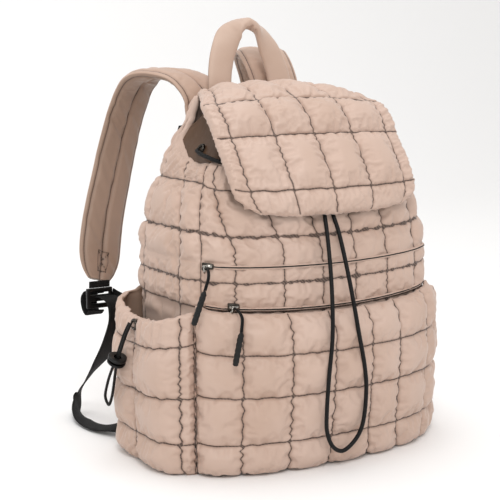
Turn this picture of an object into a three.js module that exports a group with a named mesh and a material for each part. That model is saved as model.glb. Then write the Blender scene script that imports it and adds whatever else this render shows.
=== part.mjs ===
import * as THREE from 'three';

// Quilted puffer backpack. Millimetres, +Z up, the front faces -Y,
// the origin is on the floor under the middle of the main compartment.

// Main sizes
const backHeight = 362;
const halfWidth = 144;
const frontDepth = 76;
const frontBow = 20;
const backDepth = 68;
const sectionCentre = -10;
const cornerSharpness = 7;
const frontEdge = 1.1;
const padding = 8;
const quiltPuff = 7;
const backPuff = 4;
const rimPuff = 5;
const gap = 0.4;

// Front pocket
const pocketHeight = backHeight * 0.4365;
const pocketFullness = 21;
const pocketWall = 5;
const pocketLift = 9;
const pocketEndShare = 0.99;

// Side pockets
const sidePocketHeight = backHeight * 0.4586;
const sidePocketFullness = { left: 26, right: 17 };
const sidePocketWall = 6;
const sidePocketDip = 18;
const casing = { height: 0.955, full: 0.88 };

// Collar
const collarHeight = 44;
const collarThick = 3;
const collarEnd = 0.6;

// Flap
const flapHalfWidth = 108;
const flapWall = 6;
const flapBorder = 15;
const flapPuff = 7;
const flapColumns = 4;
const flapSideDrop = 7;
const flapSideBack = 10;
const flapCornerRise = 9;
const flapReach = 110;
const flapDrop = backHeight * 0.3343;
const flapCrown = backHeight * 1.0359;

// Shoulder straps
const strapWidth = 58;
const strapThick = 13;
const strapTaper = 9;
const strapReach = 92;
const strapTipUp = 0.455;
const strapPlane = sectionCentre + backDepth + backPuff + gap + strapThick / 2;

// Handle
const handleWidth = 28;
const handleThick = 9;
const handleSpan = 38;
const handleRise = 78;
const handleLean = 12;

// Webbing and its hardware
const webbingWidth = 19;
const webbingThick = 1.6;
const lockWidth = 30;
const lockHeight = 22;
const lockThick = 4;
const lockBar = 4;
const lockPlace = { out: 155, back: 117.5, up: strapTipUp * backHeight - 19.3 };
const stayWidth = 9;
const tabWidth = 24;
const backTab = { width: 8, height: 13, corner: 1, clear: { left: 2.2, right: 2.8 } };
const backTabUp = backHeight * 0.9006;

// Zips
const zipWidth = 5;
const zipThick = 1.6;
const zipReach = 0.98;
const zipRise = { upper: 5, lower: pocketLift };
const zipLow = { upper: backHeight * 0.5539, lower: pocketHeight + 0.6 };
const sliderLength = 12;
const sliderWidth = 8;
const sliderThick = 4.5;
const pullerTabWidth = 6;
const pullerTabThick = 4;
const pullerLength = 51;

// Cords, eyelets and stoppers
const drawcordWide = 4.2;
const sideCordWide = 3;
const sideCordShift = { left: 1.8, right: -6.2 };
const eyeletOuter = 6;
const eyeletHole = 3.2;
const eyeletThick = 2.4;
const collarEyeletAlong = -0.19;
const collarEyeletUp = backHeight * 0.8646;
const stopperRadius = 9.5;
const stopperHeight = 8;
const stopperHole = 3.9;

const fabric = new THREE.MeshStandardMaterial({ color: 0xd8bba6, roughness: 0.75, metalness: 0 });
const lining = new THREE.MeshStandardMaterial({ color: 0x75655a, roughness: 0.8, metalness: 0 });
const blackWebbing = new THREE.MeshStandardMaterial({ color: 0x1c1818, roughness: 0.8, metalness: 0 });
const blackPlastic = new THREE.MeshStandardMaterial({ color: 0x151313, roughness: 0.45, metalness: 0 });
const blackMetal = new THREE.MeshStandardMaterial({ color: 0x26231f, roughness: 0.35, metalness: 0.9 });

const bag = new THREE.Group();

function addPiece(name, geometry, material) {
  const mesh = new THREE.Mesh(geometry, material);
  mesh.name = name;
  bag.add(mesh);
  return mesh;
}

// Reads the columns of a table of rows at a value between two of them
function between(rows, key, value) {
  const last = rows.length - 1;
  let i = 0;
  while (i < last - 1 && value > rows[i + 1][key]) i += 1;
  const span = rows[i + 1][key] - rows[i][key];
  const share = THREE.MathUtils.clamp((value - rows[i][key]) / span, 0, 1);
  const found = {};
  for (const name of Object.keys(rows[i])) {
    found[name] = THREE.MathUtils.lerp(rows[i][name], rows[i + 1][name], share);
  }
  return found;
}

// A closed solid through rings of equal length. Each end is closed by a fan
// about its middle, or by a strip when the ring is a face and its back.
function loft(rings, ends) {
  const count = rings[0].length;
  const positions = [];
  const index = [];
  for (const ring of rings) {
    for (const point of ring) positions.push(point.x, point.y, point.z);
  }
  for (let r = 0; r + 1 < rings.length; r += 1) {
    for (let i = 0; i < count; i += 1) {
      const a = r * count + i;
      const b = r * count + (i + 1) % count;
      index.push(a, b, b + count, a, b + count, a + count);
    }
  }
  for (const end of [0, rings.length - 1]) {
    const base = end * count;
    const flip = end > 0;
    const faces = [];
    if (ends === 'fan') {
      const middle = new THREE.Vector3();
      for (const point of rings[end]) middle.add(point);
      middle.divideScalar(count);
      positions.push(middle.x, middle.y, middle.z);
      const hub = positions.length / 3 - 1;
      for (let i = 0; i < count; i += 1) faces.push([hub, base + (i + 1) % count, base + i]);
    } else {
      for (let i = 0; i < count / 2 - 1; i += 1) {
        const j = count - 1 - i;
        faces.push([base + i, base + j, base + j - 1], [base + i, base + j - 1, base + i + 1]);
      }
    }
    for (const [a, b, c] of faces) index.push(...(flip ? [a, c, b] : [a, b, c]));
  }
  const geometry = new THREE.BufferGeometry();
  geometry.setAttribute('position', new THREE.Float32BufferAttribute(positions, 3));
  geometry.setIndex(index);
  outwards(geometry);
  geometry.computeVertexNormals();
  return geometry;
}

// Turns every face over when the solid is inside out
function outwards(geometry) {
  const at = geometry.attributes.position;
  const index = geometry.index.array;
  const corner = [new THREE.Vector3(), new THREE.Vector3(), new THREE.Vector3()];
  let volume = 0;
  for (let i = 0; i < index.length; i += 3) {
    corner.forEach((point, k) => point.fromBufferAttribute(at, index[i + k]));
    volume += corner[0].dot(corner[1].cross(corner[2]));
  }
  if (volume > 0) return;
  for (let i = 0; i < index.length; i += 3) {
    const second = index[i + 1];
    index[i + 1] = index[i + 2];
    index[i + 2] = second;
  }
}

// A padded panel between an outer and an inner face over the same columns and rows
function panel(columns, rows, outer, inner) {
  const rings = rows.map((row) => {
    const face = columns.map((column) => outer(column, row));
    const back = columns.map((column) => inner(column, row)).reverse();
    return face.concat(back);
  });
  return loft(rings, 'strip');
}

// Form of the main compartment: shares of the height, half width, depths and bow
const formRows = [
  { height: 0.0, width: 0.965, front: 0.96, bow: 0.85, back: 0.94 },
  { height: 0.014, width: 0.982, front: 0.99, bow: 0.96, back: 0.985 },
  { height: 0.08, width: 0.99, front: 1.0, bow: 1.0, back: 1.0 },
  { height: 0.455, width: 0.99, front: 1.0, bow: 1.0, back: 1.0 },
  { height: 0.56, width: 0.995, front: 1.0, bow: 1.0, back: 1.0 },
  { height: 0.64, width: 0.965, front: 0.93, bow: 0.9, back: 1.0 },
  { height: 0.73, width: 0.885, front: 0.84, bow: 0.8, back: 1.0 },
  { height: 0.83, width: 0.775, front: 0.71, bow: 0.68, back: 1.0 },
  { height: 0.88, width: 0.7, front: 0.66, bow: 0.62, back: 1.0 },
  { height: 0.94, width: 0.6, front: 0.64, bow: 0.6, back: 1.0 },
  { height: 1.0, width: 0.555, front: 0.62, bow: 0.6, back: 0.99 },
];

function flatPoint(turn, z) {
  const form = between(formRows, 'height', z / backHeight);
  const c = Math.cos(turn);
  const s = Math.sin(turn);
  const reach = (Math.abs(c) ** cornerSharpness + Math.abs(s) ** cornerSharpness) ** (-1 / cornerSharpness);
  const across = reach * c;
  const bow = form.bow * frontBow * (1 - across * across);
  const depth = s < 0 ? form.front * frontDepth + bow : form.back * backDepth;
  return new THREE.Vector2(form.width * halfWidth * across, sectionCentre + depth * reach * s);
}

// A point on the compartment's wall, moved out along the wall's level normal
function wallPoint(turn, z, out) {
  const step = 0.004;
  const here = flatPoint(turn, z);
  const along = flatPoint(turn + step, z).sub(flatPoint(turn - step, z)).normalize();
  return new THREE.Vector3(here.x + along.y * out, here.y - along.x * out, z);
}

// Turns about the compartment: across the front, along a side and across the back
const frontTurn = (share) => -Math.PI / 2 + Math.atan(share * frontEdge);
const backTurn = (share) => Math.PI / 2 - Math.atan(share);
const sideTurn = (share, side) => (side > 0 ? Math.atan(share) : Math.PI - Math.atan(share));

// Seams up the front, as shares across it from left to right, and the steps between them
const frontSeams = [-1, -0.68, -0.37, -0.09, 0.18, 0.435, 0.725, 1];
const frontSteps = [3, 3, 3, 3, 2, 2, 2];

// Seams up a side, from the front corner to the back corner, and the steps between them
const bodySides = { seams: [-1 / frontEdge, -0.5, collarEnd, 1], steps: [3, 4, 2] };
const pocketSides = { seams: [-1 / frontEdge, -0.765, 0, 0.7, 1], steps: [1, 3, 3, 2] };

// Height of a puff between two seams, by the share of the way from one to the other
const puffShape = (share) => 1 - (2 * share - 1) ** 2;

// Places between the seams of a list, with the puff at each, without the last seam
function quiltColumns(seams, steps) {
  const columns = [];
  steps.forEach((count, cell) => {
    for (let i = 0; i < count; i += 1) {
      const share = i / count;
      const at = THREE.MathUtils.lerp(seams[cell], seams[cell + 1], share);
      columns.push({ at, puff: puffShape(share) });
    }
  });
  return columns;
}

function sideColumns(side, { seams, steps }) {
  return quiltColumns(seams, steps).map(({ at, puff }) =>
    ({ along: at, turn: sideTurn(at, side), puff, front: 0 }));
}

const frontPlaces = quiltColumns(frontSeams, frontSteps);
frontPlaces.push({ at: 1, puff: 0 });

function bodyColumns() {
  const backCount = 8;
  const columns = frontPlaces.slice(0, -1).map(({ at, puff }) =>
    ({ turn: frontTurn(at), puff, front: 1 - at * at }));
  columns.push(...sideColumns(1, bodySides));
  for (let i = 0; i < backCount; i += 1) {
    const share = 1 - 2 * i / backCount;
    columns.push({ turn: backTurn(share), puff: 0, front: 0, back: i === 0 ? 0 : 1 });
  }
  const left = sideColumns(-1, bodySides);
  left.push({ along: 1, turn: sideTurn(1, -1), puff: 0, front: 0 });
  columns.push(...left.slice(1).reverse());
  return columns;
}

// Rows of the quilt: height in the middle of the front as a share of the back height,
// rise towards the sides in millimetres, and how full the puff is
const quiltRows = [
  { height: 0, rise: 0, puff: 0 },
  { height: 0.0138, rise: 0, puff: 0 },
  { height: 0.0829, rise: 0, puff: 0 },
  { height: 0.2624, rise: 0, puff: 0 },
  { height: 0.4365, rise: 9, puff: 0 },
  { height: 0.453, rise: 9, puff: 0 },
  { height: 0.4751, rise: 8, puff: 0.55 },
  { height: 0.4972, rise: 7, puff: 0.55 },
  { height: 0.5166, rise: 6, puff: 0 },
  { height: 0.5345, rise: 5, puff: 0.4 },
  { height: 0.5525, rise: 5, puff: 0 },
  { height: 0.5691, rise: 5, puff: 0 },
  { height: 0.5912, rise: 5, puff: 0.89 },
  { height: 0.616, rise: 6, puff: 0.89 },
  { height: 0.6381, rise: 7, puff: 0 },
  { height: 0.6768, rise: 8, puff: 0.89 },
  { height: 0.7155, rise: 9, puff: 0.7 },
  { height: 0.7541, rise: 10, puff: 0 },
];

// Height of the compartment's rim along the side and round the back: depth as a share
// of the front's depth, height as a share of the back height
const rimRows = [
  { depth: -1.447, height: 0.8343 },
  { depth: -0.789, height: 0.8315 },
  { depth: -0.329, height: 0.8232 },
  { depth: 0, height: 0.837 },
  { depth: 0.408, height: 0.8785 },
  { depth: 0.54, height: 0.945 },
  { depth: 0.66, height: 1.0 },
];

function rimHeight(turn) {
  let z = rimRows[0].height * backHeight;
  for (let i = 0; i < 6; i += 1) {
    z = between(rimRows, 'depth', flatPoint(turn, z).y / frontDepth).height * backHeight;
  }
  return z;
}

const rowHeight = (row, column) => row.height * backHeight + row.rise * (1 - column.front);

function bodyShell() {
  const columns = bodyColumns();
  const rings = [];
  for (const row of quiltRows) {
    rings.push(columns.map((column) => {
      const puff = column.back ? backPuff : quiltPuff * row.puff * column.puff;
      return wallPoint(column.turn, rowHeight(row, column), row.height > 0 ? puff : 0);
    }));
  }
  const last = quiltRows[quiltRows.length - 1];
  const top = (column, share, out) => {
    const z = THREE.MathUtils.lerp(rowHeight(last, column), rimHeight(column.turn), share);
    return wallPoint(column.turn, z, out);
  };
  for (const share of [1 / 3, 2 / 3]) {
    rings.push(columns.map((column) => {
      const sidePuff = rimPuff * column.puff * (1 - column.front);
      return top(column, share, column.back ? backPuff : sidePuff);
    }));
  }
  rings.push(columns.map((column) => top(column, 1, 0)));
  rings.push(columns.map((column) => top(column, 1, -padding)));
  for (const row of [quiltRows[17], quiltRows[11], quiltRows[4], quiltRows[2]]) {
    rings.push(columns.map((column) => wallPoint(column.turn, rowHeight(row, column), -padding)));
  }
  rings.push(columns.map((column) => wallPoint(column.turn, padding, -padding)));
  return loft(rings, 'fan');
}

addPiece('bag_body', bodyShell(), fabric);

// Front pocket: rows up the pocket, fullness away from the compartment, puff
const pocketRows = [
  { height: 0.009, full: 0.1, puff: 0 },
  { height: 0.032, full: 0.3, puff: 0.35 },
  { height: 0.1, full: 0.5, puff: 0.89 },
  { height: 0.209, full: 0.62, puff: 0 },
  { height: 0.31, full: 0.76, puff: 0.89 },
  { height: 0.41, full: 0.86, puff: 0.89 },
  { height: 0.506, full: 0.9, puff: 0 },
  { height: 0.59, full: 0.98, puff: 0.89 },
  { height: 0.68, full: 1.0, puff: 0.89 },
  { height: 0.766, full: 1.0, puff: 0 },
  { height: 0.85, full: 0.95, puff: 0.89 },
  { height: 0.94, full: 0.7, puff: 0.89 },
  { height: 1.0, full: 0.25, puff: 0 },
];

function frontPocket() {
  const columns = frontPlaces.map(({ at, puff }) => {
    const share = THREE.MathUtils.clamp(at, -pocketEndShare, pocketEndShare);
    return { turn: frontTurn(share), front: 1 - share * share, puff };
  });
  const place = (column, row, out) => {
    const lift = pocketLift * (1 - column.front) * row.height ** 3;
    const z = row.height * pocketHeight + lift;
    const full = pocketFullness * row.full * column.front ** 0.7;
    return wallPoint(column.turn, z, gap + full + out);
  };
  const outer = (column, row) => place(column, row, pocketWall + quiltPuff * row.puff * column.puff);
  const inner = (column, row) => place(column, row, 0);
  return panel(columns, pocketRows, outer, inner);
}

addPiece('front_pocket', frontPocket(), fabric);

// Side pockets: the same rows, with a gathered rim that dips in the middle
const sidePocketRows = [
  { height: 0.009, full: 0.65, puff: 0 },
  { height: 0.03, full: 0.8, puff: 0.3 },
  { height: 0.1, full: 0.93, puff: 0.9 },
  { height: 0.198, full: 0.9, puff: 0 },
  { height: 0.29, full: 0.9, puff: 0.8 },
  { height: 0.385, full: 0.92, puff: 0.8 },
  { height: 0.48, full: 0.94, puff: 0 },
  { height: 0.59, full: 1.0, puff: 0.8 },
  { height: 0.7, full: 0.99, puff: 0.8 },
  { height: 0.81, full: 0.96, puff: 0 },
  { height: 0.87, full: 0.94, puff: 0.5 },
  { height: 0.93, full: 0.9, puff: 0.3 },
  { height: 1.0, full: 0.84, puff: 0 },
];

function sidePocketPlace(along, side, row, out) {
  const dip = sidePocketDip * (1 - along * along) * row.height ** 2;
  const z = row.height * sidePocketHeight - dip;
  const end = pocketEndShare * (along < 0 ? 1 / frontEdge : 1);
  const full = sidePocketFullness[side < 0 ? 'left' : 'right'] * row.full * (1 - (along / end) ** 6);
  return wallPoint(sideTurn(along, side), z, gap + full + out);
}

function sidePocket(side) {
  const columns = sideColumns(side, pocketSides);
  columns.push({ along: 1, puff: 0 });
  columns[0].along *= pocketEndShare;
  columns[columns.length - 1].along = pocketEndShare;
  const outer = (column, row) =>
    sidePocketPlace(column.along, side, row, sidePocketWall + quiltPuff * row.puff * column.puff);
  const inner = (column, row) => sidePocketPlace(column.along, side, row, 0);
  return panel(columns, sidePocketRows, outer, inner);
}

// Collar: a smooth band on the rim, tallest beside the flap's edges. Depth is a share
// of the front's depth, height a share of the collar's.
const collarRows = [
  { depth: -1.447, height: 0.12 },
  { depth: -0.842, height: 0.16 },
  { depth: -0.605, height: 0.6 },
  { depth: -0.342, height: 1 },
  { depth: -0.079, height: 1.05 },
  { depth: 0.132, height: 0.9 },
  { depth: 0.276, height: 0.62 },
  { depth: 0.408, height: 0.36 },
];

function collarBand() {
  const sides = (side) =>
    sideColumns(side, bodySides).slice(1).filter((column) => column.along <= collarEnd);
  const columns = sides(-1).reverse();
  columns.push(...frontPlaces.map(({ at }) => ({ turn: frontTurn(at) })));
  columns.push(...sides(1));
  const place = (column, share, out) => {
    const rim = rimHeight(column.turn);
    const depth = flatPoint(column.turn, rim).y / frontDepth;
    const tall = collarHeight * between(collarRows, 'depth', depth).height;
    const z = rim + gap + share * tall;
    return wallPoint(column.turn, z, out - padding / 2);
  };
  const outer = (column, share) => place(column, share, collarThick / 2);
  const inner = (column, share) => place(column, share, -collarThick / 2);
  return panel(columns, [0, 0.5, 1], outer, inner);
}

addPiece('collar', collarBand(), lining);

// Flap: rows from the back edge, over the mouth and down the front.
// Depth and height are shares of the flap's reach and drop.
const flapRows = [
  { depth: 0.44, height: 0.0475, width: 0.62, side: 0, sag: 0, puff: 0 },
  { depth: 0.34, height: 0.02, width: 0.67, side: 0, sag: 0.6, puff: 0.8 },
  { depth: 0.12, height: 0.01, width: 0.78, side: 0, sag: 1.0, puff: 0.8 },
  { depth: -0.1, height: 0.035, width: 0.89, side: 0, sag: 1.0, puff: 0.8 },
  { depth: -0.3, height: 0.1, width: 0.985, side: 0.1, sag: 0.9, puff: 0 },
  { depth: -0.42, height: 0.17, width: 1.01, side: 0.3, sag: 0.7, puff: 0.89 },
  { depth: -0.53, height: 0.26, width: 1.01, side: 0.5, sag: 0.5, puff: 0.89 },
  { depth: -0.625, height: 0.385, width: 1.0, side: 0.7, sag: 0.3, puff: 0 },
  { depth: -0.74, height: 0.52, width: 1.0, side: 0.85, sag: 0.15, puff: 0.89 },
  { depth: -0.85, height: 0.66, width: 1.0, side: 1.0, sag: 0, puff: 0.89 },
  { depth: -0.95, height: 0.81, width: 0.99, side: 1.0, sag: 0, puff: 0 },
  { depth: -0.985, height: 0.905, width: 0.965, side: 1.0, sag: 0, puff: 0.5 },
  { depth: -1.0, height: 1.0, width: 0.9, side: 1.0, sag: 0, puff: 0 },
];

function flapBase(across, at) {
  const row = between(flapRows.map((entry, i) => ({ ...entry, order: i })), 'order', at);
  const drop = flapDrop * row.height + flapSideDrop * row.sag * across * across;
  const rise = flapCornerRise * row.height ** 6 * across ** 6;
  const y = flapReach * row.depth + flapSideBack * row.side * across * across;
  return new THREE.Vector3(flapHalfWidth * row.width * across, y, flapCrown - drop + rise);
}

function flapPoint(across, at, out) {
  const step = 0.5;
  const last = flapRows.length - 1;
  const down = flapBase(across, Math.min(at + step, last)).sub(flapBase(across, Math.max(at - step, 0)));
  const wide = flapBase(across + 0.05, at).sub(flapBase(across - 0.05, at));
  const normal = down.cross(wide).normalize();
  return flapBase(across, at).addScaledVector(normal, out);
}

function topFlap() {
  const inner = 1 - flapBorder / flapHalfWidth;
  const columns = [{ across: -1, puff: 0 }, { across: -(1 + inner) / 2, puff: 0.5 }];
  const count = flapColumns * 3;
  for (let i = 0; i <= count; i += 1) {
    columns.push({ across: inner * (2 * i / count - 1), puff: puffShape((i % 3) / 3) });
  }
  columns.push({ across: (1 + inner) / 2, puff: 0.5 }, { across: 1, puff: 0 });
  const rows = flapRows.map((row, i) => ({ at: i, puff: row.puff }));
  const face = (column, row) => flapPoint(column.across, row.at, flapPuff * row.puff * column.puff);
  const back = (column, row) => flapPoint(column.across, row.at, -flapWall);
  return panel(columns, rows, face, back);
}

addPiece('top_flap', topFlap(), fabric);

// Zips: a flat strip laid in a band of the front that has no puff
const zipHeight = (name, share) => zipLow[name] + zipRise[name] * share * share;

function zipStrip(name) {
  const shares = frontPlaces.map(({ at }) => THREE.MathUtils.clamp(at, -zipReach, zipReach));
  const place = (share, height, out) =>
    wallPoint(frontTurn(share), zipHeight(name, share) + height, gap + out);
  const outer = (share, height) => place(share, height, zipThick);
  const inner = (share, height) => place(share, height, 0);
  return panel(shares, [0, zipWidth], outer, inner);
}

addPiece('upper_zip', zipStrip('upper'), blackMetal);
addPiece('lower_zip', zipStrip('lower'), blackMetal);

// A slider and its puller hang from a zip. Share across the front, where the zip
// lies, and how far the puller reaches sideways and outwards at its lower end.
const pullers = [
  { name: 'upper', share: -0.91, lift: -0.5, side: -20, out: 10 },
  { name: 'lower', share: -0.71, lift: 2.6, side: -11, out: 20 },
];
const pullerRows = [
  { down: 0, out: 0, width: 0.4, thick: 0.6 },
  { down: 0.04, out: 0.45, width: 0.45, thick: 0.6 },
  { down: 0.14, out: 0.85, width: 0.5, thick: 0.6 },
  { down: 0.38, out: 1, width: 0.5, thick: 0.6 },
  { down: 0.4, out: 1, width: 1, thick: 1 },
  { down: 0.97, out: 1, width: 1, thick: 1 },
  { down: 1, out: 1, width: 0.75, thick: 0.75 },
];

function roundedPlate(length, width, thick, corner) {
  const shape = new THREE.Shape();
  const x = width / 2;
  const y = length / 2;
  shape.moveTo(-x + corner, -y);
  shape.lineTo(x - corner, -y);
  shape.lineTo(x, -y + corner);
  shape.lineTo(x, y - corner);
  shape.lineTo(x - corner, y);
  shape.lineTo(-x + corner, y);
  shape.lineTo(-x, y - corner);
  shape.lineTo(-x, -y + corner);
  return new THREE.ExtrudeGeometry(shape, { depth: thick, bevelEnabled: false });
}

// The direction straight out of the leaning wall
function wallNormal(turn, z, out) {
  const across = wallPoint(turn + 0.02, z, out).sub(wallPoint(turn - 0.02, z, out));
  const up = wallPoint(turn, z + 3, out).sub(wallPoint(turn, z - 3, out));
  return across.cross(up).normalize();
}

// Sets a piece on the wall with its +Z along that direction
function faceOut(mesh, turn, z, out, clear) {
  const normal = wallNormal(turn, z, out);
  mesh.position.copy(wallPoint(turn, z, out)).addScaledVector(normal, clear);
  mesh.quaternion.setFromUnitVectors(new THREE.Vector3(0, 0, 1), normal);
}

// Rings of a section swept along points, with a width direction at each
function sweep(points, widths, section) {
  const rings = points.map((point, i) => {
    const ahead = points[Math.min(i + 1, points.length - 1)];
    const behind = points[Math.max(i - 1, 0)];
    const along = ahead.clone().sub(behind).normalize();
    const wide = widths[i].clone().addScaledVector(along, -widths[i].dot(along)).normalize();
    const thick = along.clone().cross(wide);
    return section(i / (points.length - 1)).map(([w, t]) =>
      point.clone().addScaledVector(wide, w).addScaledVector(thick, t));
  });
  return loft(rings, 'fan');
}

const boxSection = (width, thick) => () => [
  [-width / 2, -thick / 2], [width / 2, -thick / 2], [width / 2, thick / 2], [-width / 2, thick / 2],
];

for (const puller of pullers) {
  const turn = frontTurn(puller.share);
  const z = zipHeight(puller.name, puller.share) + zipWidth / 2 + puller.lift;
  const slider = roundedPlate(sliderWidth, sliderLength, sliderThick, 2);
  const clear = gap * 3 + zipThick;
  faceOut(addPiece(`${puller.name}_zip_slider`, slider, blackMetal), turn, z, 0, clear);
  const top = wallPoint(turn, z, clear + sliderThick + gap / 2 + pullerTabThick * 0.3);
  const points = pullerRows.map((row) => new THREE.Vector3(
    top.x + puller.side * row.down, top.y - puller.out * row.out, top.z - pullerLength * row.down));
  const widths = points.map(() => new THREE.Vector3(1, 0, 0));
  const section = (share) => {
    const row = pullerRows[Math.round(share * (pullerRows.length - 1))];
    return boxSection(pullerTabWidth * row.width, pullerTabThick * row.thick)();
  };
  addPiece(`${puller.name}_zip_puller`, sweep(points, widths, section), blackPlastic);
}

// Handle: a padded band whose flat side faces forward at the legs and up at the top
const handleRows = [
  { across: 1, height: 0, lean: 0, turn: 0 },
  { across: 0.985, height: 0.2, lean: 0.2, turn: 0 },
  { across: 0.9, height: 0.42, lean: 0.5, turn: 0.05 },
  { across: 0.74, height: 0.64, lean: 0.8, turn: 0.15 },
  { across: 0.52, height: 0.84, lean: 1, turn: 0.45 },
  { across: 0.26, height: 0.96, lean: 1, turn: 0.85 },
  { across: 0, height: 1, lean: 1, turn: 1 },
];

function padSection(width, thick) {
  const w = width / 2;
  const t = thick / 2;
  return [
    [-w, 0], [-0.8 * w, -0.8 * t], [-0.35 * w, -t], [0.35 * w, -t], [0.8 * w, -0.8 * t],
    [w, 0], [0.8 * w, 0.8 * t], [0.35 * w, t], [-0.35 * w, t], [-0.8 * w, 0.8 * t],
  ];
}

function handleBand() {
  const rows = handleRows.map((row) => ({ ...row, side: 1 }));
  rows.push(...handleRows.slice(0, -1).reverse().map((row) => ({ ...row, side: -1 })));
  const back = sectionCentre + backDepth - padding / 2 + 0.5;
  const points = rows.map((row) => new THREE.Vector3(
    row.side * row.across * handleSpan,
    back + row.lean * handleLean,
    backHeight + 2 * gap + row.height * handleRise));
  const widths = rows.map((row, i) => {
    const ahead = points[Math.min(i + 1, points.length - 1)];
    const behind = points[Math.max(i - 1, 0)];
    const along = ahead.clone().sub(behind).normalize();
    const level = new THREE.Vector3(along.z, 0, -along.x);
    const angle = row.turn * Math.PI / 2;
    return level.multiplyScalar(Math.cos(angle)).add(new THREE.Vector3(0, Math.sin(angle), 0));
  });
  const curve = new THREE.CatmullRomCurve3(points, false, 'centripetal');
  const turns = new THREE.CatmullRomCurve3(widths, false, 'centripetal');
  const steps = 20;
  const path = [];
  const wide = [];
  for (let i = 0; i <= steps; i += 1) {
    path.push(curve.getPoint(i / steps));
    wide.push(turns.getPoint(i / steps));
  }
  return sweep(path, wide, () => padSection(handleWidth, handleThick));
}

addPiece('grab_handle', handleBand(), fabric);

// Shoulder straps: out and up are shares of the half width and the back height,
// back is a share of the strap's reach behind the back panel, yaw turns its width
const strapRows = {
  left: [
    { out: 0.29, back: 0.0, up: 0.925, yaw: 0 },
    { out: 0.335, back: 0.04, up: 1.005, yaw: 6 },
    { out: 0.42, back: 0.19, up: 1.05, yaw: 14 },
    { out: 0.53, back: 0.38, up: 1.067, yaw: 18 },
    { out: 0.64, back: 0.6, up: 1.06, yaw: 20 },
    { out: 0.67, back: 0.79, up: 1.022, yaw: 20 },
    { out: 0.71, back: 0.91, up: 0.953, yaw: 20 },
    { out: 0.765, back: 0.96, up: 0.862, yaw: 20 },
    { out: 0.85, back: 0.92, up: 0.746, yaw: 20 },
    { out: 0.95, back: 0.81, up: 0.63, yaw: 20 },
    { out: 1.03, back: 0.66, up: 0.53, yaw: 20 },
    { out: 1.075, back: 0.55, up: strapTipUp, yaw: 20 },
  ],
  right: [
    { out: 0.31, back: 0.0, up: 0.925, yaw: 0 },
    { out: 0.3, back: 0.04, up: 1.02, yaw: 4 },
    { out: 0.29, back: 0.16, up: 1.085, yaw: 8 },
    { out: 0.3, back: 0.36, up: 1.128, yaw: 12 },
    { out: 0.37, back: 0.62, up: 1.125, yaw: 16 },
    { out: 0.5, back: 0.84, up: 1.07, yaw: 18 },
    { out: 0.6, back: 0.96, up: 0.98, yaw: 20 },
    { out: 0.71, back: 1.0, up: 0.872, yaw: 20 },
    { out: 0.83, back: 0.96, up: 0.752, yaw: 20 },
    { out: 0.94, back: 0.84, up: 0.634, yaw: 20 },
    { out: 1.035, back: 0.68, up: 0.53, yaw: 20 },
    { out: 1.075, back: 0.55, up: strapTipUp, yaw: 20 },
  ],
};

function strapPlace(row, side) {
  return new THREE.Vector3(
    side * row.out * halfWidth, strapPlane + row.back * strapReach, row.up * backHeight);
}

function strapSection(width, thick) {
  const w = width / 2;
  const t = thick / 2;
  return [
    [-w, 0], [-0.86 * w, -0.7 * t], [-0.45 * w, -t], [0, -0.5 * t], [0.45 * w, -t], [0.86 * w, -0.7 * t],
    [w, 0], [0.86 * w, 0.7 * t], [0.45 * w, t], [0, 0.5 * t], [-0.45 * w, t], [-0.86 * w, 0.7 * t],
  ];
}

function shoulderStrap(rows, side) {
  const curve = new THREE.CatmullRomCurve3(rows.map((row) => strapPlace(row, side)), false, 'centripetal');
  const steps = 22;
  const path = [];
  const wide = [];
  for (let i = 0; i <= steps; i += 1) {
    path.push(curve.getPoint(i / steps));
    const at = Math.min(i / steps * (rows.length - 1), rows.length - 1);
    const yaw = THREE.MathUtils.degToRad(between(rows.map((row, k) => ({ ...row, k })), 'k', at).yaw);
    wide.push(new THREE.Vector3(Math.cos(yaw), -side * Math.sin(yaw), 0));
  }
  const section = (share) => {
    const left = Math.min((1 - share) * strapTaper, 1);
    const tip = Math.sqrt(1 - 0.75 * (1 - left) ** 2);
    return strapSection(strapWidth * tip, strapThick * Math.max(tip, 0.6));
  };
  return sweep(path, wide, section);
}

// Ladder lock: a plate with two slots, below the strap's tip
function ladderLock() {
  const outline = new THREE.Shape();
  const x = lockWidth / 2;
  const y = lockHeight / 2;
  outline.moveTo(-x, -y);
  outline.lineTo(x, -y);
  outline.lineTo(x, y);
  outline.lineTo(-x, y);
  const slot = (lockHeight - 3 * lockBar) / 2;
  for (const low of [-y + lockBar, lockBar / 2]) {
    const hole = new THREE.Path();
    hole.moveTo(-x + lockBar, low);
    hole.lineTo(-x + lockBar, low + slot);
    hole.lineTo(x - lockBar, low + slot);
    hole.lineTo(x - lockBar, low);
    outline.holes.push(hole);
  }
  const plate = new THREE.ExtrudeGeometry(outline, { depth: lockThick, bevelEnabled: false });
  plate.translate(0, 0, -lockThick / 2);
  return plate;
}

// Webbing: places in millimetres out from the middle and back from the origin, and the
// width turned by an angle. Up is a share of the lock's height, above is in millimetres
// over its middle.
const lowerRows = [
  { out: 151.5, back: 115, up: 1.011, wide: 0 },
  { out: 151.5, back: 104, up: 1.0213, wide: 0 },
  { out: 148, back: 93, up: 0.9904, wide: 0 },
  { out: 147, back: 90, up: 0.8803, wide: 0 },
  { out: 149, back: 99, up: 0.7221, wide: 0 },
  { out: 150, back: 129, up: 0.4952, wide: 15 },
  { out: 150, back: 163, up: 0.3095, wide: 40 },
  { out: 152, back: 186, up: 0.1582, wide: 60 },
  { out: 160, back: 176, up: 0.0688, wide: 35 },
  { out: 168, back: 140, up: 0.0275, wide: 8 },
  { out: 165, back: 104, up: 0.0275, wide: 5 },
  { out: 153, back: 80, up: 0.0619, wide: 40 },
  { out: 140, back: 68, up: 0.0825, wide: 75 },
  { out: 128, back: 63.6, up: 0.0894, wide: 90 },
];
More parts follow.
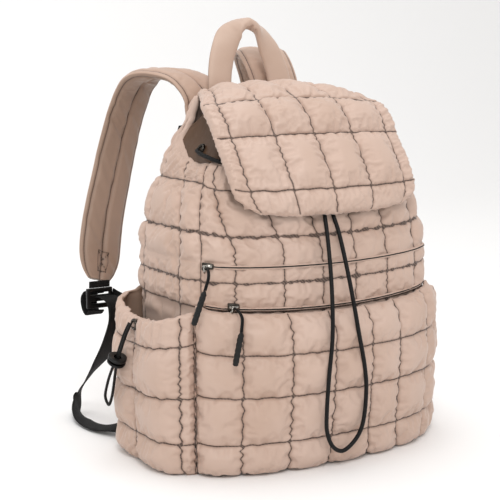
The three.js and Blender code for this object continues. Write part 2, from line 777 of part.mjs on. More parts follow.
const curlRows = [
  { out: 157, back: 121, above: 4.6, wide: 0 },
  { out: 157.5, back: 130, above: 5.6, wide: 0 },
  { out: 159, back: 137, above: -2.4, wide: 0 },
  { out: 159, back: 134, above: -14.4, wide: 0 },
  { out: 158, back: 127, above: -19.4, wide: 0 },
  { out: 157, back: 121, above: -14.4, wide: 0 },
];
const stayRows = [
  { out: 138.7, back: 117.5, above: 4.6, wide: 90 },
  { out: 137, back: 108, above: 2.6, wide: 90 },
  { out: 129, back: 86, above: -2.4, wide: 90 },
  { out: 121, back: 63.6, above: -4.4, wide: 90 },
];
const tabRows = [
  { out: 155, back: 116.9, above: 11.6, wide: 0 },
  { out: 155, back: 116.6, above: 15.2, wide: 0 },
  { out: 155, back: 116.3, above: 18.8, wide: 0 },
];

const webbingHeight = (row) => ('up' in row ? lockPlace.up * row.up : lockPlace.up + row.above);

function ribbon(rows, side, width, steps) {
  const places = rows.map((row) => new THREE.Vector3(side * row.out, row.back, webbingHeight(row)));
  const curve = new THREE.CatmullRomCurve3(places, false, 'centripetal');
  const path = [];
  const wide = [];
  for (let i = 0; i <= steps; i += 1) {
    path.push(curve.getPoint(i / steps));
    const at = i / steps * (rows.length - 1);
    const angle = THREE.MathUtils.degToRad(between(rows.map((row, k) => ({ ...row, k })), 'k', at).wide);
    wide.push(new THREE.Vector3(Math.cos(angle), 0, Math.sin(angle)));
  }
  return sweep(path, wide, boxSection(width, webbingThick));
}

// Eyelet: a ring on the outer face of the collar or a pocket's rim
function eyelet() {
  const edge = 0.7;
  const profile = [
    new THREE.Vector2(eyeletHole, edge),
    new THREE.Vector2(eyeletHole + edge, 0),
    new THREE.Vector2(eyeletOuter, 0),
    new THREE.Vector2(eyeletOuter - edge, eyeletThick - edge),
    new THREE.Vector2((eyeletOuter + eyeletHole) / 2, eyeletThick),
    new THREE.Vector2(eyeletHole, eyeletThick - edge),
    new THREE.Vector2(eyeletHole, edge),
  ];
  const ring = new THREE.LatheGeometry(profile, 12);
  ring.rotateX(Math.PI / 2);
  return ring;
}

function stopper() {
  const half = stopperHeight / 2;
  const profile = [
    new THREE.Vector2(stopperHole, -half),
    new THREE.Vector2(stopperRadius - 1.5, -half),
    new THREE.Vector2(stopperRadius, -half + 1.4),
    new THREE.Vector2(stopperRadius - 3.5, 0),
    new THREE.Vector2(stopperRadius, half - 1.4),
    new THREE.Vector2(stopperRadius - 1.5, half),
    new THREE.Vector2(stopperHole, half),
    new THREE.Vector2(stopperHole, -half),
  ];
  return new THREE.LatheGeometry(profile, 12);
}

// A round cord through chosen points
function cord(points, wide, steps) {
  const curve = new THREE.CatmullRomCurve3(points, false, 'centripetal');
  const section = new THREE.Shape();
  const sides = 8;
  for (let i = 0; i < sides; i += 1) {
    const angle = 2 * Math.PI * i / sides;
    const at = [wide / 2 * Math.cos(angle), wide / 2 * Math.sin(angle)];
    if (i === 0) section.moveTo(...at);
    else section.lineTo(...at);
  }
  return new THREE.ExtrudeGeometry(section, { steps, bevelEnabled: false, extrudePath: curve });
}

// Cord through the side pocket's eyelet: down, through the stopper, round and back.
// Heights are shares of the side pocket's height.
const sideCordPoints = [
  [176.5, -11.7, 0.8675], [181, -11.2, 0.8133], [185.5, -7.6, 0.7169], [187.5, -2.7, 0.6386],
  [187.5, 2, 0.5783], [187, 8, 0.4819], [187, 14, 0.3855], [187, 22, 0.3253], [187, 30, 0.3614],
  [187, 24, 0.4578], [187.5, 11, 0.5663], [187.5, 1, 0.6386], [185.5, -3.8, 0.7169],
  [181, -7.4, 0.8133], [176.5, -8.1, 0.8675],
];
const stopperPlace = new THREE.Vector3(187.5, -0.9, sidePocketHeight * 0.6386);
const stopperLean = new THREE.Vector3(-0.06, -0.42, 0.9);

// Drawcord: from the left eyelet under the flap, down the front and back up.
// Heights are shares of the back height.
const drawcordHalf = [
  [107.5, -22, 0.8646], [110.5, -26, 0.8633], [111.5, -36, 0.8564], [110.5, -46, 0.8508],
  [107, -58, 0.8425], [95, -69.5, 0.8343], [70, -76.5, 0.8204], [40, -82.5, 0.8066],
  [14, -87.5, 0.7901],
];
const drawcordFall = [
  [-7, -93, 0.7514], [-9, -99.3, 0.7072], [-13, -111, 0.6492], [-18, -125, 0.5525],
  [-22, -134.5, 0.4641], [-25, -139.5, 0.3729], [-29, -140.5, 0.2762], [-31, -140, 0.1796],
  [-29, -138, 0.116], [-20, -136, 0.0691], [-8, -135, 0.0525], [5, -136, 0.0746], [13, -138, 0.116],
  [16, -140, 0.221], [13, -140.5, 0.2901], [7, -139.5, 0.3729], [3, -134.5, 0.4641], [2, -125, 0.547],
  [1, -111, 0.6464], [0, -99.3, 0.7072], [1, -93, 0.7514],
];
const asPoint = (side, tall, shift = 0) => ([x, y, up]) =>
  new THREE.Vector3(side * (x + shift), y, up * tall);
const drawcordPoints = drawcordHalf.map(asPoint(-1, backHeight));
drawcordPoints.push(...drawcordFall.map(asPoint(1, backHeight)));
drawcordPoints.push(...drawcordHalf.map(asPoint(1, backHeight)).reverse());
addPiece('drawcord', cord(drawcordPoints, drawcordWide, 72), blackWebbing);

for (const side of [-1, 1]) {
  const name = side < 0 ? 'left' : 'right';
  addPiece(`side_pocket_${name}`, sidePocket(side), fabric);
  addPiece(`shoulder_strap_${name}`, shoulderStrap(strapRows[name], side), fabric);

  const lock = addPiece(`ladder_lock_${name}`, ladderLock(), blackPlastic);
  lock.position.set(side * lockPlace.out, lockPlace.back, lockPlace.up);
  lock.rotation.x = Math.PI / 2;
  addPiece(`lower_webbing_${name}`, ribbon(lowerRows, side, webbingWidth, 34), blackWebbing);
  addPiece(`webbing_curl_${name}`, ribbon(curlRows, side, webbingWidth, 12), blackWebbing);
  addPiece(`stay_webbing_${name}`, ribbon(stayRows, side, stayWidth, 6), blackWebbing);
  addPiece(`strap_tab_${name}`, ribbon(tabRows, side, tabWidth, 2), blackWebbing);

  const collarEyelet = addPiece(`collar_eyelet_${name}`, eyelet(), blackMetal);
  const collarOut = (collarThick - padding) / 2;
  faceOut(collarEyelet, sideTurn(collarEyeletAlong, side), collarEyeletUp, collarOut, gap * 2);
  const pocketEyelet = addPiece(`pocket_eyelet_${name}`, eyelet(), blackMetal);
  const rimPlace = sidePocketPlace(0, side, casing, sidePocketWall + gap * 3.5);
  pocketEyelet.position.copy(rimPlace);
  pocketEyelet.rotation.y = side * Math.PI / 2;
  const sideCord = sideCordPoints.map(asPoint(side, sidePocketHeight, sideCordShift[name]));
  addPiece(`side_cord_${name}`, cord(sideCord, sideCordWide, 36), blackWebbing);
  const tabPlate = roundedPlate(backTab.height, backTab.width, webbingThick, backTab.corner);
  const tab = addPiece(`back_tab_${name}`, tabPlate, blackWebbing);
  faceOut(tab, sideTurn(1, side), backTabUp, 0, backTab.clear[name]);
  const stop = addPiece(`cord_stopper_${name}`, stopper(), blackPlastic);
  stop.position.copy(stopperPlace).setX(side * (stopperPlace.x + sideCordShift[name]));
  const lean = stopperLean.clone().setX(side * stopperLean.x).normalize();
  stop.quaternion.setFromUnitVectors(new THREE.Vector3(0, 1, 0), lean);
}

export default bag;
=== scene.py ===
import math
import bmesh
import bpy
import numpy as np
from mathutils import Matrix, Vector


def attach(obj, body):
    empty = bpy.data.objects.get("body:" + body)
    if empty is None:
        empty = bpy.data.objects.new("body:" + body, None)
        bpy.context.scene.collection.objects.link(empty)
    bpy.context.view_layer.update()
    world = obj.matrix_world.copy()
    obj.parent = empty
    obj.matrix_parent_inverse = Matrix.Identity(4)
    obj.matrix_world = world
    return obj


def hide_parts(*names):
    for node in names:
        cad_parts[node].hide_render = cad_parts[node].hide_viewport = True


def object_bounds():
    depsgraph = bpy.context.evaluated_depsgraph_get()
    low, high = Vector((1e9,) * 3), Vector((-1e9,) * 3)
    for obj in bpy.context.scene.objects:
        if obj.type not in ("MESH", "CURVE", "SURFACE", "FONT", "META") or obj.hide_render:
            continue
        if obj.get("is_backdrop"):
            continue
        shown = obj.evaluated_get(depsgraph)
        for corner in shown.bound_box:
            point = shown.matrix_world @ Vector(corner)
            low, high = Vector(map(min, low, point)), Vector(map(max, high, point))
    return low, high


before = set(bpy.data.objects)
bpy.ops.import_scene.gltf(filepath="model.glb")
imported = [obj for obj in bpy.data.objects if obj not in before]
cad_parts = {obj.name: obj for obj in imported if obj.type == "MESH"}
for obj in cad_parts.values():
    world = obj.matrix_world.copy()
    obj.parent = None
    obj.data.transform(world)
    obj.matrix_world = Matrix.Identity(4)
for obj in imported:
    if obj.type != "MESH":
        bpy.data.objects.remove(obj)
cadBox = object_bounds()
mm = 0.001  # shapes are worked out in millimetres and stored in metres


def toLinear(colour):
    channels = [int(colour[i:i + 2], 16) / 255 for i in (1, 3, 5)]
    return [c / 12.92 if c <= 0.04045 else ((c + 0.055) / 1.055) ** 2.4 for c in channels] + [1.0]


def easeThrough(places, values, at):
    # smooth curve through a table's values that never overshoots them
    x, y, at = np.array(places, float), np.array(values, float), np.asarray(at, float)
    step = np.diff(x)
    slope = np.diff(y) / step
    lean = np.zeros(len(x))
    for i in range(1, len(x) - 1):
        if slope[i - 1] * slope[i] > 0:
            a, b = 2 * step[i] + step[i - 1], step[i] + 2 * step[i - 1]
            lean[i] = (a + b) / (a / slope[i - 1] + b / slope[i])
    lean[0], lean[-1] = slope[0], slope[-1]
    i = np.clip(np.searchsorted(x, at) - 1, 0, len(x) - 2)
    t = np.clip((at - x[i]) / step[i], 0, 1)
    keep, move = 2 * t ** 3 - 3 * t ** 2 + 1, t ** 3 - 2 * t ** 2 + t
    come, lead = 3 * t ** 2 - 2 * t ** 3, t ** 3 - t ** 2
    return keep * y[i] + move * step[i] * lean[i] + come * y[i + 1] + lead * step[i] * lean[i + 1]


def softNoise(x, y, seed, sharp=False):
    # seeded value noise from -1 to 1; sharp keeps the straight slopes between the lattice values
    table = np.random.default_rng(seed).uniform(-1, 1, (64, 64))
    x, y = np.broadcast_arrays(np.asarray(x, float), np.asarray(y, float))
    i, j = np.floor(x).astype(int), np.floor(y).astype(int)
    u, v = x - i, y - j
    if not sharp:
        u, v = u * u * (3 - 2 * u), v * v * (3 - 2 * v)
    corner = lambda a, b: table[(i + a) % 64, (j + b) % 64]
    low = corner(0, 0) * (1 - u) + corner(1, 0) * u
    high = corner(0, 1) * (1 - u) + corner(1, 1) * u
    return low * (1 - v) + high * v


def unit(vectors):
    return vectors / np.maximum(np.linalg.norm(vectors, axis=-1, keepdims=True), 1e-9)


def gridNormals(grid, flip=1):
    return unit(np.cross(np.gradient(grid, axis=1), np.gradient(grid, axis=0))) * flip


def runLength(grid, axis):
    steps = np.linalg.norm(np.diff(grid, axis=axis), axis=-1)
    pad = [(1, 0), (0, 0)] if axis == 0 else [(0, 0), (1, 0)]
    return np.pad(np.cumsum(steps, axis=axis), pad)


def doubled(grid):
    # halves the spacing both ways with a smooth curve through the points
    for axis in (0, 1):
        rows = np.moveaxis(grid, axis, 0)
        wide = np.concatenate([2 * rows[:1] - rows[1:2], rows, 2 * rows[-1:] - rows[-2:-1]])
        middle = (9 * (rows[:-1] + rows[1:]) - wide[:-3] - wide[3:]) / 16
        out = np.empty((2 * len(rows) - 1,) + rows.shape[1:])
        out[0::2], out[1::2] = rows, middle
        grid = np.moveaxis(out, 0, axis)
    return grid


def newObject(name, points, faces, materials, slots=None):
    mesh = bpy.data.meshes.new(name)
    mesh.from_pydata((np.asarray(points, float) * mm).tolist(), [], [list(map(int, f)) for f in faces])
    for material in materials:
        mesh.materials.append(material)
    if slots is not None:
        mesh.polygons.foreach_set("material_index", np.asarray(slots, dtype=np.int32))
    mesh.polygons.foreach_set("use_smooth", [True] * len(mesh.polygons))
    mesh.update()
    piece = bpy.data.objects.new(name, mesh)
    bpy.context.scene.collection.objects.link(piece)
    return piece


def keepAttribute(piece, name, values):
    layer = piece.data.attributes.new(name, "FLOAT", "POINT")
    layer.data.foreach_set("value", np.asarray(values, dtype=np.float32))


def keepUv(piece, across, up):
    # the cloth's own lengths, in metres, for weaves and stitches
    layer = piece.data.uv_layers.new(name="clothLengths")
    loops = np.empty(len(piece.data.loops), dtype=np.int32)
    piece.data.loops.foreach_get("vertex_index", loops)
    places = np.stack([np.asarray(across)[loops], np.asarray(up)[loops]], axis=1) * mm
    layer.data.foreach_set("uv", places.astype(np.float32).ravel())


def finishPiece(piece, nodes):
    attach(piece, "root")
    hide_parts(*nodes)
    return piece


def addNode(tree, kind, inputs=None, **settings):
    node = tree.nodes.new("ShaderNode" + kind)
    for name, value in settings.items():
        setattr(node, name, value)
    for name, value in (inputs or {}).items():
        if isinstance(value, bpy.types.NodeSocket):
            tree.links.new(value, node.inputs[name])
        else:
            node.inputs[name].default_value = value
    return node


def newMaterial(name):
    material = bpy.data.materials.new(name)
    material.use_nodes = True
    tree = material.node_tree
    shader = tree.nodes["Principled BSDF"]
    return material, tree, shader


def linkShader(tree, shader, **links):
    for name, socket in links.items():
        tree.links.new(socket, shader.inputs[name])


# Puffer nylon: fine plain weave taffeta, calendered and dyed in the piece. The eye sees a soft
# satin glow without threads, slight cloudiness, and dark sewn lines that sink into shadow.
puffer = {
    "cloth": "#c3a99a",
    "cloudy": "#b99d8c",
    # crease: the colour of the painted shade beside the seams
    "crease": "#7a5c4c",
    # the seam line's colour: thread, with painted shade in the seam's hollow
    "threadAndShade": "#3c2a20",
    "seamWidthMm": 0.7,
    "shadeWidthMm": 3.0,
    "stitchMm": 3.4,
    "roughness": 0.56,
    "sheen": 0.22,
    "shine": 0.5,
}


def clothNylon(name, look):
    material, tree, shader = newMaterial(name)
    place = addNode(tree, "TexCoord")
    lengths = addNode(tree, "UVMap", uv_map="clothLengths")
    # dye clouds are about 70 mm wide
    cloud = addNode(tree, "TexNoise", {"Vector": place.outputs["Object"], "Scale": 14.0, "Detail": 3.0})
    tone = addNode(tree, "MapRange", {"Value": cloud.outputs["Fac"], "From Min": 0.35, "From Max": 0.75})
    body = addNode(tree, "Mix", {0: tone.outputs["Result"], 6: toLinear(look["cloth"]),
                                 7: toLinear(look["cloudy"])}, data_type="RGBA")
    gap = addNode(tree, "Attribute", attribute_name="seamGap")
    # wide shade where shadow gathers beside the seam
    wide = addNode(tree, "MapRange", {"Value": gap.outputs["Fac"], "From Min": 0.0,
                                      "From Max": look["shadeWidthMm"], "To Min": 0.35, "To Max": 0.0},
                   interpolation_type="SMOOTHSTEP")
    shaded = addNode(tree, "Mix", {0: wide.outputs["Result"], 6: body.outputs[2],
                                   7: toLinear(look["crease"])}, data_type="RGBA")
    # thread line with painted shade in the seam's hollow, broken into stitches along the cloth;
    # between the stitches the painted shade stays at about half
    split = addNode(tree, "SeparateXYZ", {"Vector": lengths.outputs["UV"]})
    run = addNode(tree, "Math", {0: split.outputs["X"], 1: split.outputs["Y"]}, operation="ADD")
    count = addNode(tree, "Math", {0: run.outputs["Value"], 1: 1000 / look["stitchMm"]},
                    operation="MULTIPLY")
    saw = addNode(tree, "Math", {0: count.outputs["Value"]}, operation="FRACT")
    dash = addNode(tree, "MapRange", {"Value": saw.outputs["Value"], "From Min": 0.72, "From Max": 0.86,
                                      "To Min": 1.0, "To Max": 0.55})
    line = addNode(tree, "MapRange", {"Value": gap.outputs["Fac"], "From Min": look["seamWidthMm"] * 0.5,
                                      "From Max": look["seamWidthMm"], "To Min": 0.95, "To Max": 0.0})
    sewn = addNode(tree, "Math", {0: line.outputs["Result"], 1: dash.outputs["Result"]},
                   operation="MULTIPLY")
    colour = addNode(tree, "Mix", {0: sewn.outputs["Value"], 6: shaded.outputs[2],
                                   7: toLinear(look["threadAndShade"])}, data_type="RGBA")
    # threads are 0.1 mm apart, far too fine to show, so the grain is drawn at about 1 mm
    grain = addNode(tree, "TexNoise", {"Vector": place.outputs["Object"], "Scale": 900.0, "Detail": 2.0})
    # small ripples of the loose cloth are about 7 mm across
    ripple = addNode(tree, "TexNoise", {"Vector": place.outputs["Object"], "Scale": 150.0, "Detail": 4.0,
                                        "Roughness": 0.55})
    fine = addNode(tree, "Bump", {"Strength": 0.08, "Distance": 0.0004, "Height": grain.outputs["Fac"]})
    bump = addNode(tree, "Bump", {"Strength": 0.2, "Distance": 0.001, "Height": ripple.outputs["Fac"],
                                  "Normal": fine.outputs["Normal"]})
    linkShader(tree, shader, **{"Base Color": colour.outputs[2], "Normal": bump.outputs["Normal"]})
    shader.inputs["Roughness"].default_value = look["roughness"]
    shader.inputs["IOR"].default_value = 1.53
    shader.inputs["Sheen Weight"].default_value = look["sheen"]
    shader.inputs["Specular IOR Level"].default_value = look["shine"]
    shader.inputs["Sheen Roughness"].default_value = 0.4
    return material


# Strap nylon: the same taffeta over foam, so it is smoother and a little browner; the face turned
# to the back is in the shade of the strap, and its darker copy below holds browner cloth and painted shade
strapLook = dict(puffer, cloth="#bb9f8d", cloudy="#ae917f", crease="#745645", roughness=0.6)
# Handle nylon: the same taffeta rolled tight round foam, paler where it faces the light;
# its colour is a slightly darker copy of the puffer cloth, as painted shade
handleShadeLook = dict(puffer, cloth="#bfa594", cloudy="#b49886", roughness=0.58)
# Lining: dark brown taffeta, closely woven, with a silky and slightly glossy face
liningLook = dict(puffer, cloth="#5e4533", cloudy="#503a2a", crease="#2c211a", threadAndShade="#241a14",
                  roughness=0.42, sheen=0.0, shine=0.2)
pocketLiningLook = dict(liningLook, cloth="#9d8473", cloudy="#8f7767", crease="#5d4738")

pufferNylon = clothNylon("pufferNylon", puffer)
strapNylon = clothNylon("strapNylon", strapLook)
handleShadedNylon = clothNylon("handleShadedNylon", handleShadeLook)
collarTaffeta = clothNylon("collarTaffeta", liningLook)
pocketTaffeta = clothNylon("pocketTaffeta", pocketLiningLook)


def wovenTape(name, colour, dark, ribMm):
    # Polypropylene webbing, woven in ribs across its run: matt, with ridges painted lighter and grooves
    # painted darker, as painted light and shade on the weave
    material, tree, shader = newMaterial(name)
    lengths = addNode(tree, "UVMap", uv_map="clothLengths")
    split = addNode(tree, "SeparateXYZ", {"Vector": lengths.outputs["UV"]})
    turns = addNode(tree, "Math", {0: split.outputs["Y"], 1: 2000 * math.pi / ribMm}, operation="MULTIPLY")
    rib = addNode(tree, "Math", {0: turns.outputs["Value"]}, operation="SINE")
    strands = addNode(tree, "Math", {0: split.outputs["X"], 1: 2000 * math.pi / (ribMm * 1.3)},
                      operation="MULTIPLY")
    strand = addNode(tree, "Math", {0: strands.outputs["Value"]}, operation="SINE")
    weave = addNode(tree, "Math", {0: rib.outputs["Value"], 1: strand.outputs["Value"]}, operation="ADD")
    share = addNode(tree, "MapRange", {"Value": weave.outputs["Value"], "From Min": -2.0, "From Max": 2.0})
    # the lighter colour on the ridges is painted light, the dark one in the grooves painted shade
    mixed = addNode(tree, "Mix", {0: share.outputs["Result"], 6: toLinear(dark), 7: toLinear(colour)},
                    data_type="RGBA")
    bump = addNode(tree, "Bump", {"Strength": 0.5, "Distance": 0.0005, "Height": share.outputs["Result"]})
    linkShader(tree, shader, **{"Base Color": mixed.outputs[2], "Normal": bump.outputs["Normal"]})
    shader.inputs["Roughness"].default_value = 0.7
    shader.inputs["IOR"].default_value = 1.49
    shader.inputs["Specular IOR Level"].default_value = 0.25
    return material


def braidedCord(name, colour, dark):
    # Round braid of textured polyester: matt black with a fine crossing pattern, drawn at 1.6 mm
    material, tree, shader = newMaterial(name)
    place = addNode(tree, "TexCoord")
    cells = addNode(tree, "TexVoronoi", {"Vector": place.outputs["Object"], "Scale": 620.0})
    share = addNode(tree, "MapRange", {"Value": cells.outputs["Distance"], "From Min": 0.1, "From Max": 0.7})
    mixed = addNode(tree, "Mix", {0: share.outputs["Result"], 6: toLinear(colour), 7: toLinear(dark)},
                    data_type="RGBA")
    bump = addNode(tree, "Bump", {"Strength": 0.4, "Distance": 0.0004, "Height": share.outputs["Result"]})
    linkShader(tree, shader, **{"Base Color": mixed.outputs[2], "Normal": bump.outputs["Normal"]})
    shader.inputs["Roughness"].default_value = 0.55
    shader.inputs["IOR"].default_value = 1.5
    shader.inputs["Specular IOR Level"].default_value = 0.25
    return material


def mouldedPlastic(name, colour, roughness, ior):
    # Moulded acetal and rubber: an even black with a faint spark-eroded grain that breaks up the
    # highlight; the real grain is under 0.1 mm, drawn here at about 0.7 mm
    material, tree, shader = newMaterial(name)
    place = addNode(tree, "TexCoord")
    grain = addNode(tree, "TexNoise", {"Vector": place.outputs["Object"], "Scale": 1400.0, "Detail": 2.0})
    rough = addNode(tree, "MapRange", {"Value": grain.outputs["Fac"], "To Min": roughness - 0.06,
                                       "To Max": roughness + 0.08})
    bump = addNode(tree, "Bump", {"Strength": 0.15, "Distance": 0.0002, "Height": grain.outputs["Fac"]})
    linkShader(tree, shader, **{"Roughness": rough.outputs["Result"], "Normal": bump.outputs["Normal"]})
    shader.inputs["Base Color"].default_value = toLinear(colour)
    shader.inputs["IOR"].default_value = ior
    shader.inputs["Specular IOR Level"].default_value = 0.3
    return material


def platedZinc(name, colour, roughness):
    # Die-cast zinc, nickel plated and tumbled: a mirror with small soft wear, about 2.4 mm across
    material, tree, shader = newMaterial(name)
    place = addNode(tree, "TexCoord")
    wear = addNode(tree, "TexNoise", {"Vector": place.outputs["Object"], "Scale": 420.0, "Detail": 5.0})
    rough = addNode(tree, "MapRange", {"Value": wear.outputs["Fac"], "To Min": roughness - 0.07,
                                       "To Max": roughness + 0.12})
    tone = addNode(tree, "Mix", {0: wear.outputs["Fac"], 6: toLinear(colour), 7: toLinear("#1d1a17")},
                   data_type="RGBA")
    linkShader(tree, shader, **{"Base Color": tone.outputs[2], "Roughness": rough.outputs["Result"]})
    shader.inputs["Metallic"].default_value = 1.0
    return material


blackTape = wovenTape("blackTape", "#131110", "#050404", 1.6)
blackBraid = braidedCord("blackBraid", "#0e0c0c", "#040404")
blackAcetal = mouldedPlastic("blackAcetal", "#0b0a0a", 0.36, 1.48)
blackRubber = mouldedPlastic("blackRubber", "#0d0c0b", 0.5, 1.52)
blackNickel = platedZinc("blackNickel", "#5a554f", 0.26)
brightNickel = platedZinc("brightNickel", "#d8d4cc", 0.16)
zipCoil = mouldedPlastic("zipCoil", "#120d0b", 0.5, 1.53)
print("materials made")

# the camera stands where the photograph was taken from
shot = {"azimuth": -31.0, "elevation": 9.0, "distance": 1.25, "target": (-0.034, 0.0, 0.204),
        "focalPx": 1190.0, "framePx": 500, "sensorMm": 36.0}
camera = bpy.data.objects.new("camera", bpy.data.cameras.new("camera"))
bpy.context.scene.collection.objects.link(camera)
azimuth, elevation = math.radians(shot["azimuth"]), math.radians(shot["elevation"])
away = Vector((math.sin(azimuth) * math.cos(elevation), -math.cos(azimuth) * math.cos(elevation),
               math.sin(elevation)))
camera.location = Vector(shot["target"]) + away * shot["distance"]
camera.rotation_mode = "QUATERNION"
camera.rotation_quaternion = (-away).to_track_quat("-Z", "Y")
camera.data.sensor_width = shot["sensorMm"]
camera.data.lens = shot["focalPx"] / shot["framePx"] * shot["sensorMm"]
camera.data.dof.use_dof = False
bpy.context.scene.camera = camera


def centripetal(points, count):
    # the curve that the solids' cords and straps follow
    p = np.asarray(points, float)
    p = np.concatenate([2 * p[:1] - p[1:2], p, 2 * p[-1:] - p[-2:-1]])
    at = np.linspace(0, len(points) - 1, count)
    i = np.minimum(at.astype(int), len(points) - 2)
    t = (at - i)[:, None]
    a, b, c, d = p[i], p[i + 1], p[i + 2], p[i + 3]
    reach = lambda u, v: np.maximum(np.linalg.norm(v - u, axis=1, keepdims=True) ** 0.5, 1e-6)
    ab, bc, cd = reach(a, b), reach(b, c), reach(c, d)
    start = ((b - a) / ab - (c - a) / (ab + bc) + (c - b) / bc) * bc
    stop = ((c - b) / bc - (d - b) / (bc + cd) + (d - c) / cd) * bc
    return (b + start * t + (3 * (c - b) - 2 * start - stop) * t ** 2
            + (2 * (b - c) + start + stop) * t ** 3)


drawcordLook = {"diameter": 4.2, "steps": 420}
drawcordHalf = [[107.5, -22, 313], [110.5, -26, 312.5], [111.5, -36, 310], [110.5, -46, 308], [107, -58, 305],
                [95, -69.5, 302], [70, -76.5, 297], [40, -82.5, 292], [14, -87.5, 286]]
drawcordFall = [[-7, -93, 272], [-9, -99.3, 256], [-13, -111, 235], [-18, -125, 200], [-22, -134.5, 168],
                [-25, -139.5, 135], [-29, -140.5, 100], [-31, -140, 65], [-29, -138, 42], [-20, -136, 25],
                [-8, -135, 19], [5, -136, 27], [13, -138, 42], [16, -140, 80], [13, -140.5, 105],
                [7, -139.5, 135], [3, -134.5, 168], [2, -125, 198], [1, -111, 234], [0, -99.3, 256],
                [1, -93, 272]]
sideCordLook = {"diameter": 3.0, "steps": 260, "shift": {"left": 1.8, "right": -6.2}}
sideCordPoints = [[176.5, -11.7, 144], [181, -11.2, 135], [185.5, -7.6, 119], [187.5, -2.7, 106],
                  [187.5, 2, 96], [187, 8, 80], [187, 14, 64], [187, 22, 54], [187, 30, 60], [187, 24, 76],
                  [187.5, 11, 94], [187.5, 1, 106], [185.5, -3.8, 119], [181, -7.4, 135], [176.5, -8.1, 144]]


def cordCurve(name, points, look):
    path = centripetal(points, look["steps"])
    data = bpy.data.curves.new(name, "CURVE")
    data.dimensions = "3D"
    data.bevel_depth = look["diameter"] / 2 * mm
    data.bevel_resolution = 4
    data.use_fill_caps = True
    spline = data.splines.new("POLY")
    spline.points.add(len(path) - 1)
    spline.points.foreach_set("co", np.concatenate([path * mm, np.ones((len(path), 1))], axis=1).ravel())
    spline.use_smooth = True
    data.materials.append(blackBraid)
    piece = bpy.data.objects.new(name, data)
    bpy.context.scene.collection.objects.link(piece)
    length = float(np.linalg.norm(np.diff(path, axis=0), axis=1).sum()) * mm
    return piece, length


mirrored = [[-x, y, z] for x, y, z in drawcordHalf]
drawcordPoints = mirrored + drawcordFall + drawcordHalf[::-1]
drawcord, drawcordLength = cordCurve("drawcordBraid", drawcordPoints, drawcordLook)
finishPiece(drawcord, ["drawcord"])
print(f"drawcord {drawcordLength:.3f} m")


def lathe(profile, count):
    # a turned piece about its own Z axis; profile is rows of radius and height
    profile = np.asarray(profile, float)
    angles = np.linspace(0, 2 * math.pi, count, endpoint=False)
    points = np.stack([np.outer(np.cos(angles), profile[:, 0]), np.outer(np.sin(angles), profile[:, 0]),
                       np.tile(profile[:, 1], (count, 1))], axis=-1)
    size = len(profile)
    faces = [[i * size + j, (i + 1) % count * size + j, (i + 1) % count * size + (j + 1) % size,
              i * size + (j + 1) % size] for i in range(count) for j in range(size)]
    return points.reshape(-1, 3), faces


def roundCorners(corners, radius, steps=3):
    # a closed outline whose corners are rounded
    corners = np.asarray(corners, float)
    out = []
    for k, corner in enumerate(corners):
        before, after = unit(corners[k - 1] - corner), unit(corners[(k + 1) % len(corners)] - corner)
        reach = radius[k] if hasattr(radius, "__len__") else radius
        for t in np.linspace(0, 1, steps):
            out.append(corner + before * reach * (1 - t) ** 2 + after * reach * t ** 2)
    return np.array(out)


stopperLook = {"radius": 9.5, "height": 8.0, "hole": 3.9, "waist": 3.2, "dish": 0.35, "sides": 40,
               "place": (187.5, -0.9, 106), "lean": (-0.06, -0.42, 0.9)}


def cordStopper(name, side):
    half, r = stopperLook["height"] / 2, stopperLook["radius"]
    hole, waist = stopperLook["hole"], r - stopperLook["waist"]
    outline = roundCorners([[hole, -half], [r, -half], [r, -1.3], [waist, -0.9],
                            [waist, 0.9], [r, 1.3], [r, half], [hole, half]],
                           [0.4, 1.2, 0.7, 0.3, 0.3, 0.7, 1.2, 0.4], 4)
    points, faces = lathe(outline, stopperLook["sides"])
    round2 = np.arctan2(points[:, 1], points[:, 0]) * 2
    points[:, 2] += stopperLook["dish"] * np.cos(round2) * (points[:, 0] ** 2 + points[:, 1] ** 2) / r ** 2
    lean = Vector((side * stopperLook["lean"][0],) + stopperLook["lean"][1:]).normalized()
    turn = np.array(Vector((0, 0, 1)).rotation_difference(lean).to_matrix())
    shift = sideCordLook["shift"]["left" if side < 0 else "right"]
    x, y, z = stopperLook["place"]
    points = points @ turn.T + [side * (x + shift), y, z]
    return newObject(name, points, faces, [blackAcetal])


for side, name in ((-1, "left"), (1, "right")):
    shift = sideCordLook["shift"][name]
    points = [[side * (x + shift), y, z] for x, y, z in sideCordPoints]
    braid, length = cordCurve(f"sideCordBraid_{name}", points, sideCordLook)
    finishPiece(braid, [f"side_cord_{name}"])
    stopper = finishPiece(cordStopper(f"cordStopper_{name}", side), [f"cord_stopper_{name}"])
    print(f"side cord {name} {length:.3f} m")

# the compartment's form, in the words and numbers of the solids; millimetres, and shares of them
form = {"backHeight": 362.0, "halfWidth": 144.0, "frontDepth": 76.0, "frontBow": 20.0, "backDepth": 68.0,
        "sectionCentre": -10.0, "cornerSharpness": 7.0, "frontEdge": 1.1, "gap": 0.4, "padding": 8.0}
formRows = {
    "height": [0.0, 0.014, 0.08, 0.455, 0.56, 0.64, 0.73, 0.83, 0.88, 0.94, 1.0],
    "width": [0.965, 0.982, 0.99, 0.99, 0.995, 0.965, 0.885, 0.775, 0.7, 0.6, 0.555],
    "front": [0.96, 0.99, 1.0, 1.0, 1.0, 0.93, 0.84, 0.71, 0.66, 0.64, 0.62],
    "bow": [0.85, 0.96, 1.0, 1.0, 1.0, 0.9, 0.8, 0.68, 0.62, 0.6, 0.6],
    "back": [0.94, 0.985, 1.0, 1.0, 1.0, 1.0, 1.0, 1.0, 1.0, 1.0, 0.99],
}
rimRows = {"depth": [-110, -60, -25, 0, 31, 41, 50], "height": [302, 301, 298, 303, 318, 342, 362]}


